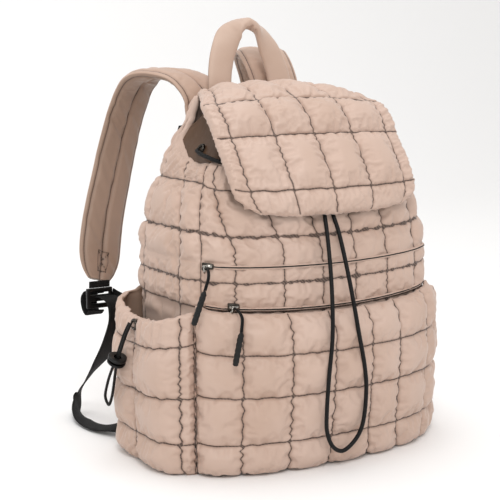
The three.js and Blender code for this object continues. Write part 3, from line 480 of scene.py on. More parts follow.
def flatPoint(turn, z):
    share = z / form["backHeight"]
    at = lambda key: np.interp(share, formRows["height"], formRows[key])
    c, s = np.cos(turn), np.sin(turn)
    n = form["cornerSharpness"]
    reach = (np.abs(c) ** n + np.abs(s) ** n) ** (-1 / n)
    across = reach * c
    front = at("front") * form["frontDepth"] + at("bow") * form["frontBow"] * (1 - across ** 2)
    depth = np.where(s < 0, front, at("back") * form["backDepth"])
    return at("width") * form["halfWidth"] * across, form["sectionCentre"] + depth * reach * s


def wallPoint(turn, z, out):
    turn, z, out = np.broadcast_arrays(turn, np.asarray(z, float), out)
    x, y = flatPoint(turn, z)
    ax, ay = flatPoint(turn + 0.004, z)
    bx, by = flatPoint(turn - 0.004, z)
    alongX, alongY = ax - bx, ay - by
    size = np.hypot(alongX, alongY)
    return np.stack([x + alongY / size * out, y - alongX / size * out, z], axis=-1)


def frontTurn(share):
    return -math.pi / 2 + np.arctan(np.asarray(share) * form["frontEdge"])


def backTurn(share):
    return math.pi / 2 - np.arctan(share)


def sideTurn(share, side):
    return np.arctan(share) if side > 0 else math.pi - np.arctan(share)


def rimHeight(turn):
    z = np.full(np.shape(turn), 302.0)
    for _ in range(6):
        z = np.interp(flatPoint(turn, z)[1], rimRows["depth"], rimRows["height"])
    return z


def between(seams, steps):
    # values with each seam's own value in place; also where the seams are
    values, places = [], []
    for k, count in enumerate(steps):
        places.append(len(values))
        values += list(np.linspace(seams[k], seams[k + 1], count, endpoint=False))
    places.append(len(values))
    return np.array(values + [seams[-1]]), places


def cellShares(lengths, places, axis, openStart, openEnd):
    # distance to the nearest seam and to a rounded edge, the share across the cell, the cell's number
    index = np.arange(lengths.shape[axis])
    cell = np.clip(np.searchsorted(places, index, side="right") - 1, 0, len(places) - 2)
    low = np.take(lengths, np.array(places)[cell], axis=axis)
    high = np.take(lengths, np.array(places)[cell + 1], axis=axis)
    share = (lengths - low) / np.maximum(high - low, 1e-6)
    along = cell[:, None] if axis == 0 else cell[None, :]
    first, last = openStart & (along == 0), openEnd & (along == len(places) - 2)
    fromLow, fromHigh = lengths - low, high - lengths
    seam = np.minimum(np.where(first, 99.0, fromLow), np.where(last, 99.0, fromHigh))
    edge = np.minimum(np.where(first, fromLow, 99.0), np.where(last, fromHigh, 99.0))
    return seam, edge, share, cell


def zigzag(at):
    return 4 * np.abs(at - np.floor(at) - 0.5) - 1


# what all quilted panels share; millimetres, and shares of a puff
quilting = {"shoulder": 7.0, "crownBase": 0.72, "crownRise": 0.28, "uneven": 0.12, "puckerStart": 1.4,
            "swell": 0.35, "foldSpacing": 1.9, "foldRun": 9.0, "foldDepth": 0.75, "foldReach": 3.2,
            "wanderReach": 6.0, "toothLength": 11.5}


def quilted(grid, normals, columns, rows, look, seed):
    # moves a smooth surface out into puffs between sewn lines that wander and pucker
    across, up = runLength(grid, 1), runLength(grid, 0)
    openEdges = look.get("openEdges", "")
    toColumn, edgeA, shareA, cellA = cellShares(across, columns, 1, "left" in openEdges, "right" in openEdges)
    toRow, edgeB, shareB, cellB = cellShares(up, rows, 0, "start" in openEdges, "end" in openEdges)
    if "puff" in look:
        puff = look["puff"][np.ix_(cellB, cellA)]
    else:
        puff = np.outer(np.array(look["rowPuff"])[cellB], np.array(look["columnPuff"])[cellA])
    soft = look["edge"]
    rise = (1 - np.exp(-toColumn / soft)) * (1 - np.exp(-toRow / soft))
    shoulder = lambda edge: np.sqrt(1 - (1 - np.minimum(edge / quilting["shoulder"], 1)) ** 2)
    rise *= shoulder(edgeA) * shoulder(edgeB)
    middle = (4 * shareA * (1 - shareA)) * (4 * shareB * (1 - shareB))
    out = puff * rise * (quilting["crownBase"] + quilting["crownRise"] * middle)
    # each puff fills a little differently
    out *= 1 + quilting["uneven"] * softNoise(cellA[None, :] * 3.7 + 0.3, cellB[:, None] * 5.1 + 0.6, seed)
    # gathers run away from each seam and fade into the puff
    pull = np.minimum(puff / 4, 1)
    alongRow = softNoise(across / look["pucker"], up / 30, seed + 1)
    alongColumn = softNoise(across / 30, up / look["pucker"], seed + 2)
    fade = lambda gap: (1 - np.exp(-gap / quilting["puckerStart"])) * np.exp(-gap / look["puckerReach"])
    out += look["puckerDepth"] * pull * (0.7 * alongRow * fade(toRow) + alongColumn * fade(toColumn))
    out += quilting["swell"] * pull * softNoise(across / 26 + up / 40, up / 26, seed + 3) * rise
    # elastic thread draws some rows into close small gathers
    nearRow = cellB + (shareB.mean(axis=1) > 0.5)
    drawn = np.isin(nearRow, look.get("gatheredRows", []))[:, None]
    fineFolds = softNoise(across / quilting["foldSpacing"], up / quilting["foldRun"], seed + 6)
    out += drawn * quilting["foldDepth"] * fineFolds * np.exp(-toRow / quilting["foldReach"])
    # seams wander from side to side, most where they run up
    nearColumn = np.exp(-(toColumn / quilting["wanderReach"]) ** 2)
    nearRows = np.exp(-(toRow / quilting["wanderReach"]) ** 2)
    nearest = lambda cell, share: cell + (share > 0.5)
    line = nearest(cellA[None, :], shareA)
    turning = up / quilting["toothLength"] + 1.3 * softNoise(up / 19, line * 7.3, seed + 4)
    uneven = 0.65 + 0.5 * softNoise(up / 15, line * 3.1, seed + 7)
    sideways = look["wander"] * nearColumn * zigzag(turning) * uneven
    upward = look["wander"] * look["rowWander"] * nearRows * softNoise(
        across / 7, nearest(cellB[:, None], shareB) * 9.1, seed + 5)
    sideways[:, [0, -1]] = 0
    upward[[0, -1], :] = 0
    tangentA = unit(np.gradient(grid, axis=1))
    tangentB = unit(np.gradient(grid, axis=0))
    points = grid + normals * out[..., None] + tangentA * sideways[..., None] + tangentB * upward[..., None]
    # the returned seam distance drives the thread line and the painted shade beside the seams; quiet rows get
    # none, and gathered rows get streaks of painted shade along their folds
    quiet = np.isin(nearRow, look.get("quietRows", []))[:, None]
    marks = np.where(quiet, 9.0, toRow - drawn * np.maximum(fineFolds * 3.2 - 0.4, 0))
    return points, np.minimum(toColumn, marks), across, up


def settle(points, pinned, look, name):
    # lets the cloth between the sewn lines swell and buckle, then keeps the shape
    if not look["frames"]:
        return points
    rows, columns = points.shape[:2]
    index = np.arange(rows * columns).reshape(rows, columns)
    faces = np.stack([index[:-1, :-1], index[:-1, 1:], index[1:, 1:], index[1:, :-1]], axis=-1).reshape(-1, 4)
    sheet = newObject(name + "Sheet", points.reshape(-1, 3), faces, [])
    group = sheet.vertex_groups.new(name="sewn")
    group.add(np.nonzero(pinned.reshape(-1))[0].tolist(), 1.0, "REPLACE")
    cloth = sheet.modifiers.new("swell", "CLOTH")
    cloth.settings.quality = look["quality"]
    cloth.settings.mass = look["mass"]
    cloth.settings.air_damping = look["damping"]
    cloth.settings.tension_stiffness = look["stiffness"]
    cloth.settings.compression_stiffness = look["stiffness"]
    cloth.settings.shear_stiffness = look["stiffness"] * 0.4
    cloth.settings.bending_stiffness = look["bending"]
    cloth.settings.shrink_min = -look["growth"]
    cloth.settings.use_pressure = True
    cloth.settings.uniform_pressure_force = look["pressure"]
    cloth.settings.vertex_group_mass = "sewn"
    cloth.settings.effector_weights.gravity = 0
    cloth.collision_settings.use_collision = False
    cloth.point_cache.frame_start, cloth.point_cache.frame_end = 1, look["frames"]
    for number in range(1, look["frames"] + 1):
        bpy.context.scene.frame_set(number)
    shown = sheet.evaluated_get(bpy.context.evaluated_depsgraph_get())
    moved = np.empty(rows * columns * 3)
    shown.data.vertices.foreach_get("co", moved)
    moved = moved.reshape(rows, columns, 3) / mm
    mesh = sheet.data
    bpy.data.objects.remove(sheet)
    bpy.data.meshes.remove(mesh)
    bpy.context.scene.frame_set(1)
    shift = moved - points
    size = np.linalg.norm(shift, axis=-1, keepdims=True)
    print(f"{name} settled, moved {size.mean():.2f} mm on average and {size.max():.2f} at most")
    shift *= np.minimum(1, look["cap"] / np.maximum(size, 1e-6))
    return points + shift


def pins(gap):
    # the cloth is held along the sewn lines and round its border
    held = np.where(gap <= swell["sewnWidth"], 1.0, 0.0)
    held[0], held[-1], held[:, 0], held[:, -1] = 1, 1, 1, 1
    return held


swell = {"frames": 14, "quality": 4, "mass": 0.1, "damping": 4.0, "stiffness": 8.0, "bending": 0.05,
         "growth": 0.05, "pressure": 2.0, "cap": 2.2, "sewnWidth": 0.6}


def closedPanel(name, outer, normals, thick, gap, across, up, materials, every=4):
    # a padded panel: the fine outer face, a rounded edge all round, and a plain inner face
    rows, columns = outer.shape[:2]
    r = thick / 2
    rings = []
    for angle in (40, 80):
        lean = math.radians(angle)
        rings.append((math.sin(lean) * r, (1 - math.cos(lean)) * r))
    border = ([(0, c) for c in range(columns)] + [(i, columns - 1) for i in range(1, rows)]
              + [(rows - 1, c) for c in range(columns - 2, -1, -1)]
              + [(i, 0) for i in range(rows - 2, 0, -1)])
    tangentA, tangentB = unit(np.gradient(outer, axis=1)), unit(np.gradient(outer, axis=0))
    points = [outer.reshape(-1, 3)]
    index = np.arange(rows * columns).reshape(rows, columns)
    faces = np.stack([index[:-1, :-1], index[:-1, 1:], index[1:, 1:], index[1:, :-1]], axis=-1).reshape(-1, 4)
    faces = faces.tolist()
    outward = []
    for i, c in border:
        push = np.zeros(3)
        if c == 0:
            push -= tangentA[i, c]
        if c == columns - 1:
            push += tangentA[i, c]
        if i == 0:
            push -= tangentB[i, c]
        if i == rows - 1:
            push += tangentB[i, c]
        outward.append(push / max(np.linalg.norm(push), 1e-6))
    outward = np.array(outward)
    edge = np.array([outer[i, c] for i, c in border])
    edgeNormal = np.array([normals[i, c] for i, c in border])
    last = [index[i, c] for i, c in border]
    total = rows * columns
    for reach, sink in rings:
        points.append(edge + outward * reach - edgeNormal * sink)
        new = list(range(total, total + len(border)))
        total += len(border)
        for k in range(len(border)):
            n = (k + 1) % len(border)
            faces.append([last[k], new[k], new[n], last[n]])
        last = new
    keepRows = sorted(set(list(range(0, rows, every)) + [rows - 1]))
    keepColumns = sorted(set(list(range(0, columns, every)) + [columns - 1]))
    inner = (outer - normals * thick)[np.ix_(keepRows, keepColumns)]
    points.append(inner.reshape(-1, 3))
    place = np.arange(total, total + inner.shape[0] * inner.shape[1]).reshape(inner.shape[:2])
    outerFaces = len(faces)
    faces += np.stack([place[:-1, :-1], place[1:, :-1], place[1:, 1:], place[:-1, 1:]],
                      axis=-1).reshape(-1, 4).tolist()
    spot = {pair: k for k, pair in enumerate(border)}

    def wall(cells, inside):
        for a in range(len(inside) - 1):
            run = cells[a]
            faces.append([last[spot[p]] for p in run][::-1] + [inside[a], inside[a + 1]])

    spans = lambda keep: [list(range(keep[k], keep[k + 1] + 1)) for k in range(len(keep) - 1)]
    wall([[(0, c) for c in span] for span in spans(keepColumns)], place[0])
    wall([[(i, columns - 1) for i in span] for span in spans(keepRows)], place[:, -1])
    wall([[(rows - 1, c) for c in span[::-1]] for span in spans(keepColumns)[::-1]], place[-1][::-1])
    wall([[(i, 0) for i in span[::-1]] for span in spans(keepRows)[::-1]], place[:, 0][::-1])
    slots = [0] * outerFaces + [1 if len(materials) > 1 else 0] * (len(faces) - outerFaces)
    piece = newObject(name, np.concatenate(points), faces, materials, slots)
    rest = total - rows * columns + inner.shape[0] * inner.shape[1]
    keepAttribute(piece, "seamGap", np.concatenate([gap.ravel(), np.full(rest, 6.0)]))
    edgeA, edgeB = [across[i, c] for i, c in border], [up[i, c] for i, c in border]
    fill = lambda grid, edgeValues: np.concatenate(
        [grid.ravel()] + [edgeValues] * len(rings) + [grid[np.ix_(keepRows, keepColumns)].ravel()])
    keepUv(piece, fill(across, edgeA), fill(up, edgeB))
    return piece


# how far round the corner the front pocket's ends reach
cornerReach = {"left": 1.06, "right": 1.0}

frontPocketLook = {
    "height": 158.0, "fullness": 20.5, "wall": 5.0, "lift": 9.0, "endShare": 0.99, "thick": 4.8,
    "rowSeams": [0.009, 0.209, 0.506, 0.766, 1.0], "rowSteps": [12, 17, 15, 14],
    "columnSteps": [17] * 6 + [14],
    "columnSeams": [-1, -0.675, -0.375, -0.09, 0.19, 0.43, 0.73, 1],
    "footDrift": [0, 0, 0.01, 0.01, 0.05, 0.08, 0.05, 0],
    "fullAt": [0.009, 0.032, 0.1, 0.209, 0.31, 0.41, 0.506, 0.59, 0.68, 0.766, 0.85, 0.94, 1.0],
    "full": [0.1, 0.3, 0.5, 0.62, 0.76, 0.86, 0.9, 0.98, 1.0, 1.0, 0.95, 0.7, 0.25],
    "rowPuff": [5.4, 5.8, 5.8, 5.4], "columnPuff": [1.0] * 6 + [0.8], "edge": 4.2, "pucker": 5.2,
    "puckerReach": 6.0, "puckerDepth": 1.5, "wander": 2.0, "rowWander": 0.35, "openEdges": "end",
}


def frontPocket(look):
    shares, columns = between(look["columnSeams"], look["columnSteps"])
    drift = np.interp(shares, look["columnSeams"], look["footDrift"])[None, :]
    shares = np.where(shares < 0, shares * (1 + (cornerReach["left"] - 1) * np.abs(shares) ** 8), shares)
    shares = (shares * look["endShare"])[None, :]
    heights, rows = between(look["rowSeams"], look["rowSteps"])
    heights = heights[:, None]
    shares = shares + drift * (1 - np.clip(heights / 0.35, 0, 1)) ** 2
    middle = np.maximum(1 - shares ** 2, 0)
    z = heights * look["height"] + look["lift"] * (1 - middle) * heights ** 3
    full = look["fullness"] * easeThrough(look["fullAt"], look["full"], heights) * middle ** 0.7
    base = wallPoint(frontTurn(shares), z, form["gap"] + full + look["wall"])
    normals = gridNormals(base)
    points, gap, across, up = quilted(base, normals, columns, rows, look, 11)
    points = settle(points, pins(gap), swell, "frontPocket")
    points, normals, gap = doubled(points), unit(doubled(normals)), doubled(gap)
    return closedPanel("frontPocket", points, normals, look["thick"], np.maximum(gap, 0), doubled(across),
                       doubled(up), [pufferNylon, collarTaffeta])


finishPiece(frontPocket(frontPocketLook), ["front_pocket"])
print("front pocket made")

sidePocketLook = {
    "height": 166.0, "fullness": {"left": 26.0, "right": 17.0}, "wall": 6.0, "dip": 18.0, "endShare": 0.99,
    "thick": 5.6, "columnSeams": [-1 / 1.1, -0.765, 0.0, 0.7, 1.0], "columnSteps": [6, 24, 22, 9],
    "rowSeams": [0.009, 0.198, 0.48, 0.81, 1.0], "rowSteps": [12, 17, 20, 18],
    "fullAt": [0.009, 0.03, 0.1, 0.198, 0.29, 0.385, 0.48, 0.59, 0.7, 0.81, 0.87, 0.93, 1.0],
    "full": [0.65, 0.8, 0.93, 0.9, 0.9, 0.92, 0.94, 1.0, 0.99, 0.96, 0.94, 0.9, 0.84],
    "rowPuff": [5.2, 5.8, 5.6, 3.2], "columnPuff": [0.7, 1.0, 0.95, 0.8], "openEdges": "end", "edge": 4.4,
    "pucker": 5.0, "puckerReach": 8.0, "puckerDepth": 1.7, "wander": 1.8, "rowWander": 0.5,
    "rimFold": 2.0, "rimWave": 1.4,
}
casing = {"height": 0.955, "full": 0.88}


def sideStart(side):
    return 1 / form["frontEdge"] / cornerReach["left" if side < 0 else "right"]


def sidePocketPlace(along, side, height, full, out):
    look = sidePocketLook
    z = height * look["height"] - look["dip"] * (1 - along ** 2) * height ** 2
    end = look["endShare"] * np.where(along < 0, sideStart(side), 1)
    wide = look["fullness"]["left" if side < 0 else "right"] * full * (1 - (along / end) ** 6)
    return wallPoint(sideTurn(along, side), z, form["gap"] + wide + out)


def sidePocket(name, side, look, seed):
    along, columns = between([-sideStart(side)] + look["columnSeams"][1:], look["columnSteps"])
    along[0] *= look["endShare"]
    along[-1] = look["endShare"]
    if side < 0:
        along, columns = along[::-1], [len(along) - 1 - place for place in columns[::-1]]
    heights, rows = between(look["rowSeams"], look["rowSteps"])
    heights = heights[:, None]
    full = easeThrough(look["fullAt"], look["full"], heights)
    base = sidePocketPlace(along[None, :], side, heights, full, look["wall"])
    normals = gridNormals(base)
    points, gap, across, up = quilted(base, normals, columns, rows, look, seed)
    # elastic gathers the rim into upright folds
    gather = np.clip((heights - 0.76) / 0.2, 0, 1) ** 1.5
    folds = softNoise(across / 5.5 + up / 60, up / 70, seed + 9)
    folds = folds + 0.5 * softNoise(across / 2.6, up / 30, seed + 10)
    points = points + normals * (look["rimFold"] * gather * folds)[..., None]
    points[..., 2] += look["rimWave"] * gather * softNoise(across / 6.5, up / 200, seed + 12)
    points = settle(points, pins(gap), swell, name)
    points, normals, gap = doubled(points), unit(doubled(normals)), doubled(gap)
    return closedPanel(name, points, normals, look["thick"], np.maximum(gap, 0), doubled(across),
                       doubled(up), [pufferNylon, pocketTaffeta])


for side, name in ((-1, "left"), (1, "right")):
    piece = sidePocket(f"sidePocket_{name}", side, sidePocketLook, 40 + side * 7)
    finishPiece(piece, [f"side_pocket_{name}"])
print("side pockets made")

bodyLook = {
    "frontSeams": [-1, -0.69, -0.36, -0.085, 0.17, 0.44, 0.73, 1], "frontSteps": [13] * 6 + [10],
    "crownDrift": [-0.3, -0.28, -0.18, -0.11, 0, 0.02, 0.14, 0.3], "sideSeams": [-1 / 1.1, -0.5, 0.6, 1.0],
    "sideDrift": [0, 0.42, 0.1, 0], "driftFrom": 225.0, "driftOver": 60.0, "sideSteps": [11, 24, 8],
    "backSteps": [11] * 4,
    "rowSeams": [(0, 0), (33, 2), (80, 4), (121, 6), (158, 9), (187, 6), (200, 5), (206, 5), (231, 7),
                 (273, 10)],
    "rowSteps": [4, 5, 5, 6, 11, 5, 3, 10, 16], "topSteps": 14,
    "frontPuff": [0, 0, 0, 0, 3.4, 2.4, 0, 5.4, 5.8, 1.2],
    "sidePuff": [0, 0, 0, 0, 3.4, 2.4, 0, 5.4, 5.8, 4.6],
    "backPuff": [3.0, 3.2, 3.2, 3.0, 3.0, 2.0, 0.6, 3.0, 3.2, 3.2], "backOut": 0.6,
    "edge": 4.4, "pucker": 4.6, "puckerReach": 7.0, "puckerDepth": 1.6, "wander": 1.7, "rowWander": 0.45,
    "gatheredRows": [5, 8], "quietRows": [6, 7], "openEdges": "end",
    "rimFold": 1.1, "rimReach": 15.0, "heldBelow": 150.0, "facingFold": 0.9,
    "mouthRoll": [(1.2, 1.6), (4, 2.4), (6.8, 1.6)], "facing": [0.0, 0.03, 0.06, 0.1],
    "lining": [0.3, 0.6, 0.8], "liningFoot": 30.0, "floorRings": [0.15, 0.6, 0.94], "insideRings": [0.6, 0.2],
}


def bagBody(look):
    share, frontSeams = between(look["frontSeams"], look["frontSteps"])
    along, sideSeams = between(look["sideSeams"], look["sideSteps"])
    back, backSeams = between(np.linspace(1, -1, 5), look["backSteps"])
    turns = np.concatenate([frontTurn(share)[:-1], sideTurn(along, 1)[:-1], backTurn(back)[:-1],
                            sideTurn(along[::-1], -1)])
    middle = np.concatenate([1 - share[:-1] ** 2, np.zeros(len(turns) - len(share) + 1)])
    sizes = [len(share) - 1, len(along) - 1, len(back) - 1]
    starts = np.cumsum([0] + sizes)
    leftSeams = [starts[3] + len(along) - 1 - place for place in sideSeams[::-1]]
    columns = (frontSeams[:-1] + [starts[1] + p for p in sideSeams[:-1]]
               + [starts[2] + p for p in backSeams[:-1]] + leftSeams)
    heights, rises, rows = [], [], [0]
    for k, steps in enumerate(look["rowSteps"]):
        low, high = look["rowSeams"][k], look["rowSeams"][k + 1]
        for t in np.linspace(0, 1, steps, endpoint=False):
            heights.append(low[0] + (high[0] - low[0]) * t)
            rises.append(low[1] + (high[1] - low[1]) * t)
        rows.append(len(heights))
    z = np.array(heights)[:, None] + np.array(rises)[:, None] * (1 - middle[None, :])
    low = look["rowSeams"][-1][0] + look["rowSeams"][-1][1] * (1 - middle)
    climb = np.linspace(0, 1, look["topSteps"] + 1)[:, None]
    z = np.concatenate([z, low + (rimHeight(turns) - low) * climb])
    rows.append(len(z) - 1)
    # towards the top the seams lean in as the compartment narrows
    turnGrid = np.empty(z.shape)
    seamShares, crownDrift = np.array(look["frontSeams"]), np.array(look["crownDrift"])
    for k, lean in enumerate(np.clip((z.mean(axis=1) - look["driftFrom"]) / look["driftOver"], 0, 1.2)):
        leant = np.interp(share, seamShares, seamShares + crownDrift * lean)
        ends = np.array(look["sideSeams"]) + np.array(look["sideDrift"]) * lean
        ends[0] = 1 / form["frontEdge"] / look["frontSeams"][0] / (1 - look["crownDrift"][0] * lean)
        beside = np.interp(along, look["sideSeams"], ends)
        turnGrid[k] = np.concatenate([frontTurn(leant)[:-1], sideTurn(beside, 1)[:-1], backTurn(back)[:-1],
                                      sideTurn(beside[::-1], -1)])
    rim = rimHeight(turnGrid[-1])
    z[-len(climb):] = low + (rim - low) * climb
    isBack = np.zeros(len(turns))
    isBack[starts[2] + 1:starts[3]] = 1
    base = wallPoint(turnGrid, z, isBack[None, :] * look["backOut"])
    normals = gridNormals(base)
    kinds = ["front"] * 7 + ["side"] * 3 + ["back"] * 4 + ["side"] * 3
    puff = np.array([look[kind + "Puff"] for kind in kinds]).T
    shaped = dict(look, puff=puff, rowPuff=[1] * (len(rows) - 1), columnPuff=[1] * (len(columns) - 1))
    points, gap, across, up = quilted(base, normals, columns, rows, shaped, 21)
    # the drawn mouth gathers the cloth below the rim into upright folds
    nearRim = np.exp(-((rim - z) / look["rimReach"]) ** 2) * (1 - isBack)
    points = points + normals * (look["rimFold"] * nearRim * softNoise(across / 5.0, up / 50, 31))[..., None]
    held = pins(gap)
    held[z < look["heldBelow"]] = 1
    points = settle(points, held, swell, "bagBody")
    points, gap, across, up = doubled(points), np.maximum(doubled(gap), 0), doubled(across), doubled(up)
    points[:, -1] = points[:, 0]
    points, gap = points[:, :-1], gap[:, :-1]
    count = points.shape[1]
    allTurns = np.interp(np.arange(count) / 2, np.arange(len(turns)), turnGrid[-1])
    rimZ = points[-1, :, 2]
    inward = wallPoint(allTurns, rimZ, 0) - wallPoint(allTurns, rimZ, 1)
    lift = np.array([0, 0, 1.0])
    rings = list(points)
    for out, rise in look["mouthRoll"]:
        rings.append(points[-1] + inward * out + lift * rise)
    # the outer cloth is turned in at the mouth and gathers there
    for share in look["facing"]:
        fold = look["facingFold"] * softNoise(np.arange(count) / 4.1, share * 30, 33)
        rings.append(wallPoint(allTurns, rimZ * (1 - share), -form["padding"] - fold))
    facing = len(rings)
    for share in look["lining"]:
        rings.append(wallPoint(allTurns, rimZ * (1 - share), -form["padding"]))
    rings.append(wallPoint(allTurns, np.full(count, look["liningFoot"]), -form["padding"]))
    rings.append(wallPoint(allTurns, np.full(count, form["padding"]), -form["padding"]))
    for scale in look["insideRings"]:
        rings.append(rings[-1] * [scale, scale, 1] + [0, form["sectionCentre"] * (1 - scale), 0])
    under = [rings[0] * [s, s, 1] + [0, form["sectionCentre"] * (1 - s), 0] for s in look["floorRings"]]
    rings = under + rings
    allPoints = np.array(rings).reshape(-1, 3)
    index = np.arange(len(allPoints)).reshape(len(rings), count)
    index = np.concatenate([index, index[:, :1]], axis=1)
    faces = np.stack([index[:-1, :-1], index[:-1, 1:], index[1:, 1:], index[1:, :-1]], axis=-1).reshape(-1, 4)
    outside = (len(under) + facing - 1) * count
    slots = np.where(np.arange(len(faces)) < outside, 0, 1).tolist() + [0, 1]
    faces = faces.tolist() + [list(index[0, :-1])[::-1], list(index[-1, :-1])]
    piece = newObject("bagBody", allPoints, faces, [pufferNylon, collarTaffeta], slots)
    plain = len(rings) - len(points)
    below, above = (len(under), count), (plain - len(under), count)
    stack = lambda grid, value: np.concatenate([np.full(below, value), grid[:, :count],
                                                np.full(above, value)]).ravel()
    keepAttribute(piece, "seamGap", stack(gap, 6.0))
    keepUv(piece, stack(across, 0.0), stack(up, 0.0))
    return piece


finishPiece(bagBody(bodyLook), ["bag_body"])
print("compartment made")

flapLook = {
    "halfWidth": 108.0, "border": 15.0, "reach": 110.0, "drop": 121.0, "crown": 375.0, "sideDrop": 7.0,
    "sideBack": 10.0, "cornerRise": 9.0, "thick": 5.6,
    "rowSeams": [12, 10, 7, 4, 0], "rowSteps": [10, 31, 27, 30], "columnSteps": [9, 17, 17, 17, 17, 9],
    "openEdges": "left right start end",
    "rowPuff": [4.2, 6.6, 6.6, 5.6], "columnPuff": [0.62, 1, 1, 1, 1, 0.62], "edge": 5.0, "pucker": 4.6,
    "puckerReach": 6.0, "puckerDepth": 1.5, "wander": 1.3, "rowWander": 0.6,
    "pleat": 0.95, "pleatSpacing": 2.1,
}
flapRows = {
    "depth": [0.44, 0.34, 0.12, -0.1, -0.3, -0.42, -0.53, -0.625, -0.74, -0.85, -0.95, -0.985, -1.0],
    "height": [0.0475, 0.02, 0.01, 0.035, 0.1, 0.17, 0.26, 0.385, 0.52, 0.66, 0.81, 0.905, 1.0],
    "width": [0.62, 0.67, 0.78, 0.89, 0.985, 1.01, 1.01, 1.0, 1.0, 1.0, 0.99, 0.965, 0.9],
    "side": [0, 0, 0, 0, 0.1, 0.3, 0.5, 0.7, 0.85, 1.0, 1.0, 1.0, 1.0],
    "sag": [0, 0.6, 1.0, 1.0, 0.9, 0.7, 0.5, 0.3, 0.15, 0, 0, 0, 0],
}


def topFlap(look):
    inner = 1 - look["border"] / look["halfWidth"]
    seams = [-1] + list(inner * np.linspace(-1, 1, 5)) + [1]
    across, columns = between(seams, look["columnSteps"])
    at, rows = between(look["rowSeams"], look["rowSteps"])
    row = {key: easeThrough(np.arange(13), flapRows[key], at)[:, None] for key in flapRows}
    across = across[None, :]
    drop = look["drop"] * row["height"] + look["sideDrop"] * row["sag"] * across ** 2
    rise = look["cornerRise"] * row["height"] ** 6 * across ** 6
    y = look["reach"] * row["depth"] + look["sideBack"] * row["side"] * across ** 2
    base = np.stack([look["halfWidth"] * row["width"] * across, y, look["crown"] - drop + rise], axis=-1)
    normals = gridNormals(base)
    points, gap, acrossMm, up = quilted(base, normals, columns, rows, look, 61)
    # fine gathers in the border band
    rim = np.maximum(np.clip((np.abs(across) - inner) * 12, 0, 1), np.clip((at[:, None] - 9.8) * 2, 0, 1))
    along = np.where(np.abs(across) > inner, up, acrossMm)
    pleats = softNoise(along / look["pleatSpacing"], acrossMm / 60 + up / 60, 71)
    pleats = pleats + 0.5 * softNoise(along / 6, up / 30, 72)
    points = points + normals * (look["pleat"] * rim * pleats)[..., None]
    points = settle(points, pins(gap), swell, "topFlap")
    points, normals, gap = doubled(points), unit(doubled(normals)), doubled(gap)
    return closedPanel("topFlap", points, normals, look["thick"], np.maximum(gap, 0), doubled(acrossMm),
                       doubled(up), [pufferNylon, collarTaffeta])


finishPiece(topFlap(flapLook), ["top_flap"])
print("flap made")

collarLook = {"height": 44.0, "thick": 2.6, "depthAt": [-110, -64, -46, -26, -6, 10, 21, 31],
              "tall": [0.12, 0.16, 0.6, 1.0, 1.05, 0.9, 0.62, 0.36], "rows": 14, "seamFromTop": 4.0,
              "sideEnd": 0.6, "sideSteps": 60, "frontSteps": 140, "wave": 0.8, "crease": 0.12}


def collarBand(look):
    end, corner, steps = look["sideEnd"], -1 / form["frontEdge"], look["sideSteps"]
    left = sideTurn(np.linspace(end, corner, steps)[:-1], -1) - 2 * math.pi
    turns = np.concatenate([left, frontTurn(np.linspace(-1, 1, look["frontSteps"])),
                            sideTurn(np.linspace(corner, end, steps)[1:], 1)])
    rim = rimHeight(turns)
    depth = flatPoint(turns, rim)[1]
    tall = look["height"] * easeThrough(look["depthAt"], look["tall"], depth)
    share = np.linspace(0, 1, look["rows"])[:, None]
    z = rim + form["gap"] + share * tall
    base = wallPoint(turns[None, :], z, -form["padding"] / 2 + look["thick"] / 2)
    normals = gridNormals(base)
    across, up = runLength(base, 1), runLength(base, 0)
    folds = look["wave"] * softNoise(across / 12, up / 30, 81)
    folds = folds + look["crease"] * softNoise(across / 3, up / 12, 82)
    points = base + normals * (folds * np.sin(share * math.pi * 0.5) * np.minimum(tall / 20, 1))[..., None]
    gap = np.abs(up[-1] - up - look["seamFromTop"])
    return closedPanel("collarBand", points, normals, look["thick"], gap, across, up, [collarTaffeta],
                       every=1)


finishPiece(collarBand(collarLook), ["collar"])
print("collar made")


def swept(name, path, wide, section, materials, slotOf=None, attributes=None):
    # a closed solid swept along a path; section(share) gives rows of width and thickness
    along = unit(np.gradient(path, axis=0))
    wide = unit(wide - along * np.sum(wide * along, axis=1, keepdims=True))
    thick = np.cross(along, wide)
    rings = []
    for i, share in enumerate(np.linspace(0, 1, len(path))):
        shape = section(share)
        rings.append(path[i] + shape[:, :1] * wide[i] + shape[:, 1:2] * thick[i])
    rings = np.array(rings)
    count = rings.shape[1]
    # each end closes over a ring of half the size
    ends = [ring.mean(0) + (ring - ring.mean(0)) * 0.5 for ring in (rings[0], rings[-1])]
    allRings = np.concatenate([ends[0][None], rings, ends[1][None]])
    index = np.arange(len(allRings) * count).reshape(len(allRings), count)
    loop = np.concatenate([index, index[:, :1]], axis=1)
    faces = np.stack([loop[:-1, :-1], loop[:-1, 1:], loop[1:, 1:], loop[1:, :-1]], axis=-1)
    faces = faces.reshape(-1, 4).tolist()
    slots = [0] * len(faces)
    if slotOf is not None:
        slots = [slotOf(k % count) for k in range(len(faces))]
    faces += [list(index[0])[::-1], list(index[-1])]
    slots += [0, 0]
    piece = newObject(name, allRings.reshape(-1, 3), faces, materials, slots)
    girth = np.linalg.norm(np.diff(rings[len(rings) // 2], axis=0), axis=1)
    girth = np.concatenate([[0], np.cumsum(girth)])
    run = np.concatenate([[0], np.cumsum(np.linalg.norm(np.diff(path, axis=0), axis=1))])
    run = np.concatenate([run[:1], run, run[-1:]])
    keepUv(piece, np.tile(girth, len(allRings)), np.repeat(run, count))
    if attributes is not None:
        inside = attributes(run[1:-1][:, None], np.arange(count)[None, :])
        inside = np.concatenate([inside[:1], inside, inside[-1:]])
        keepAttribute(piece, "seamGap", inside.ravel())
    return piece


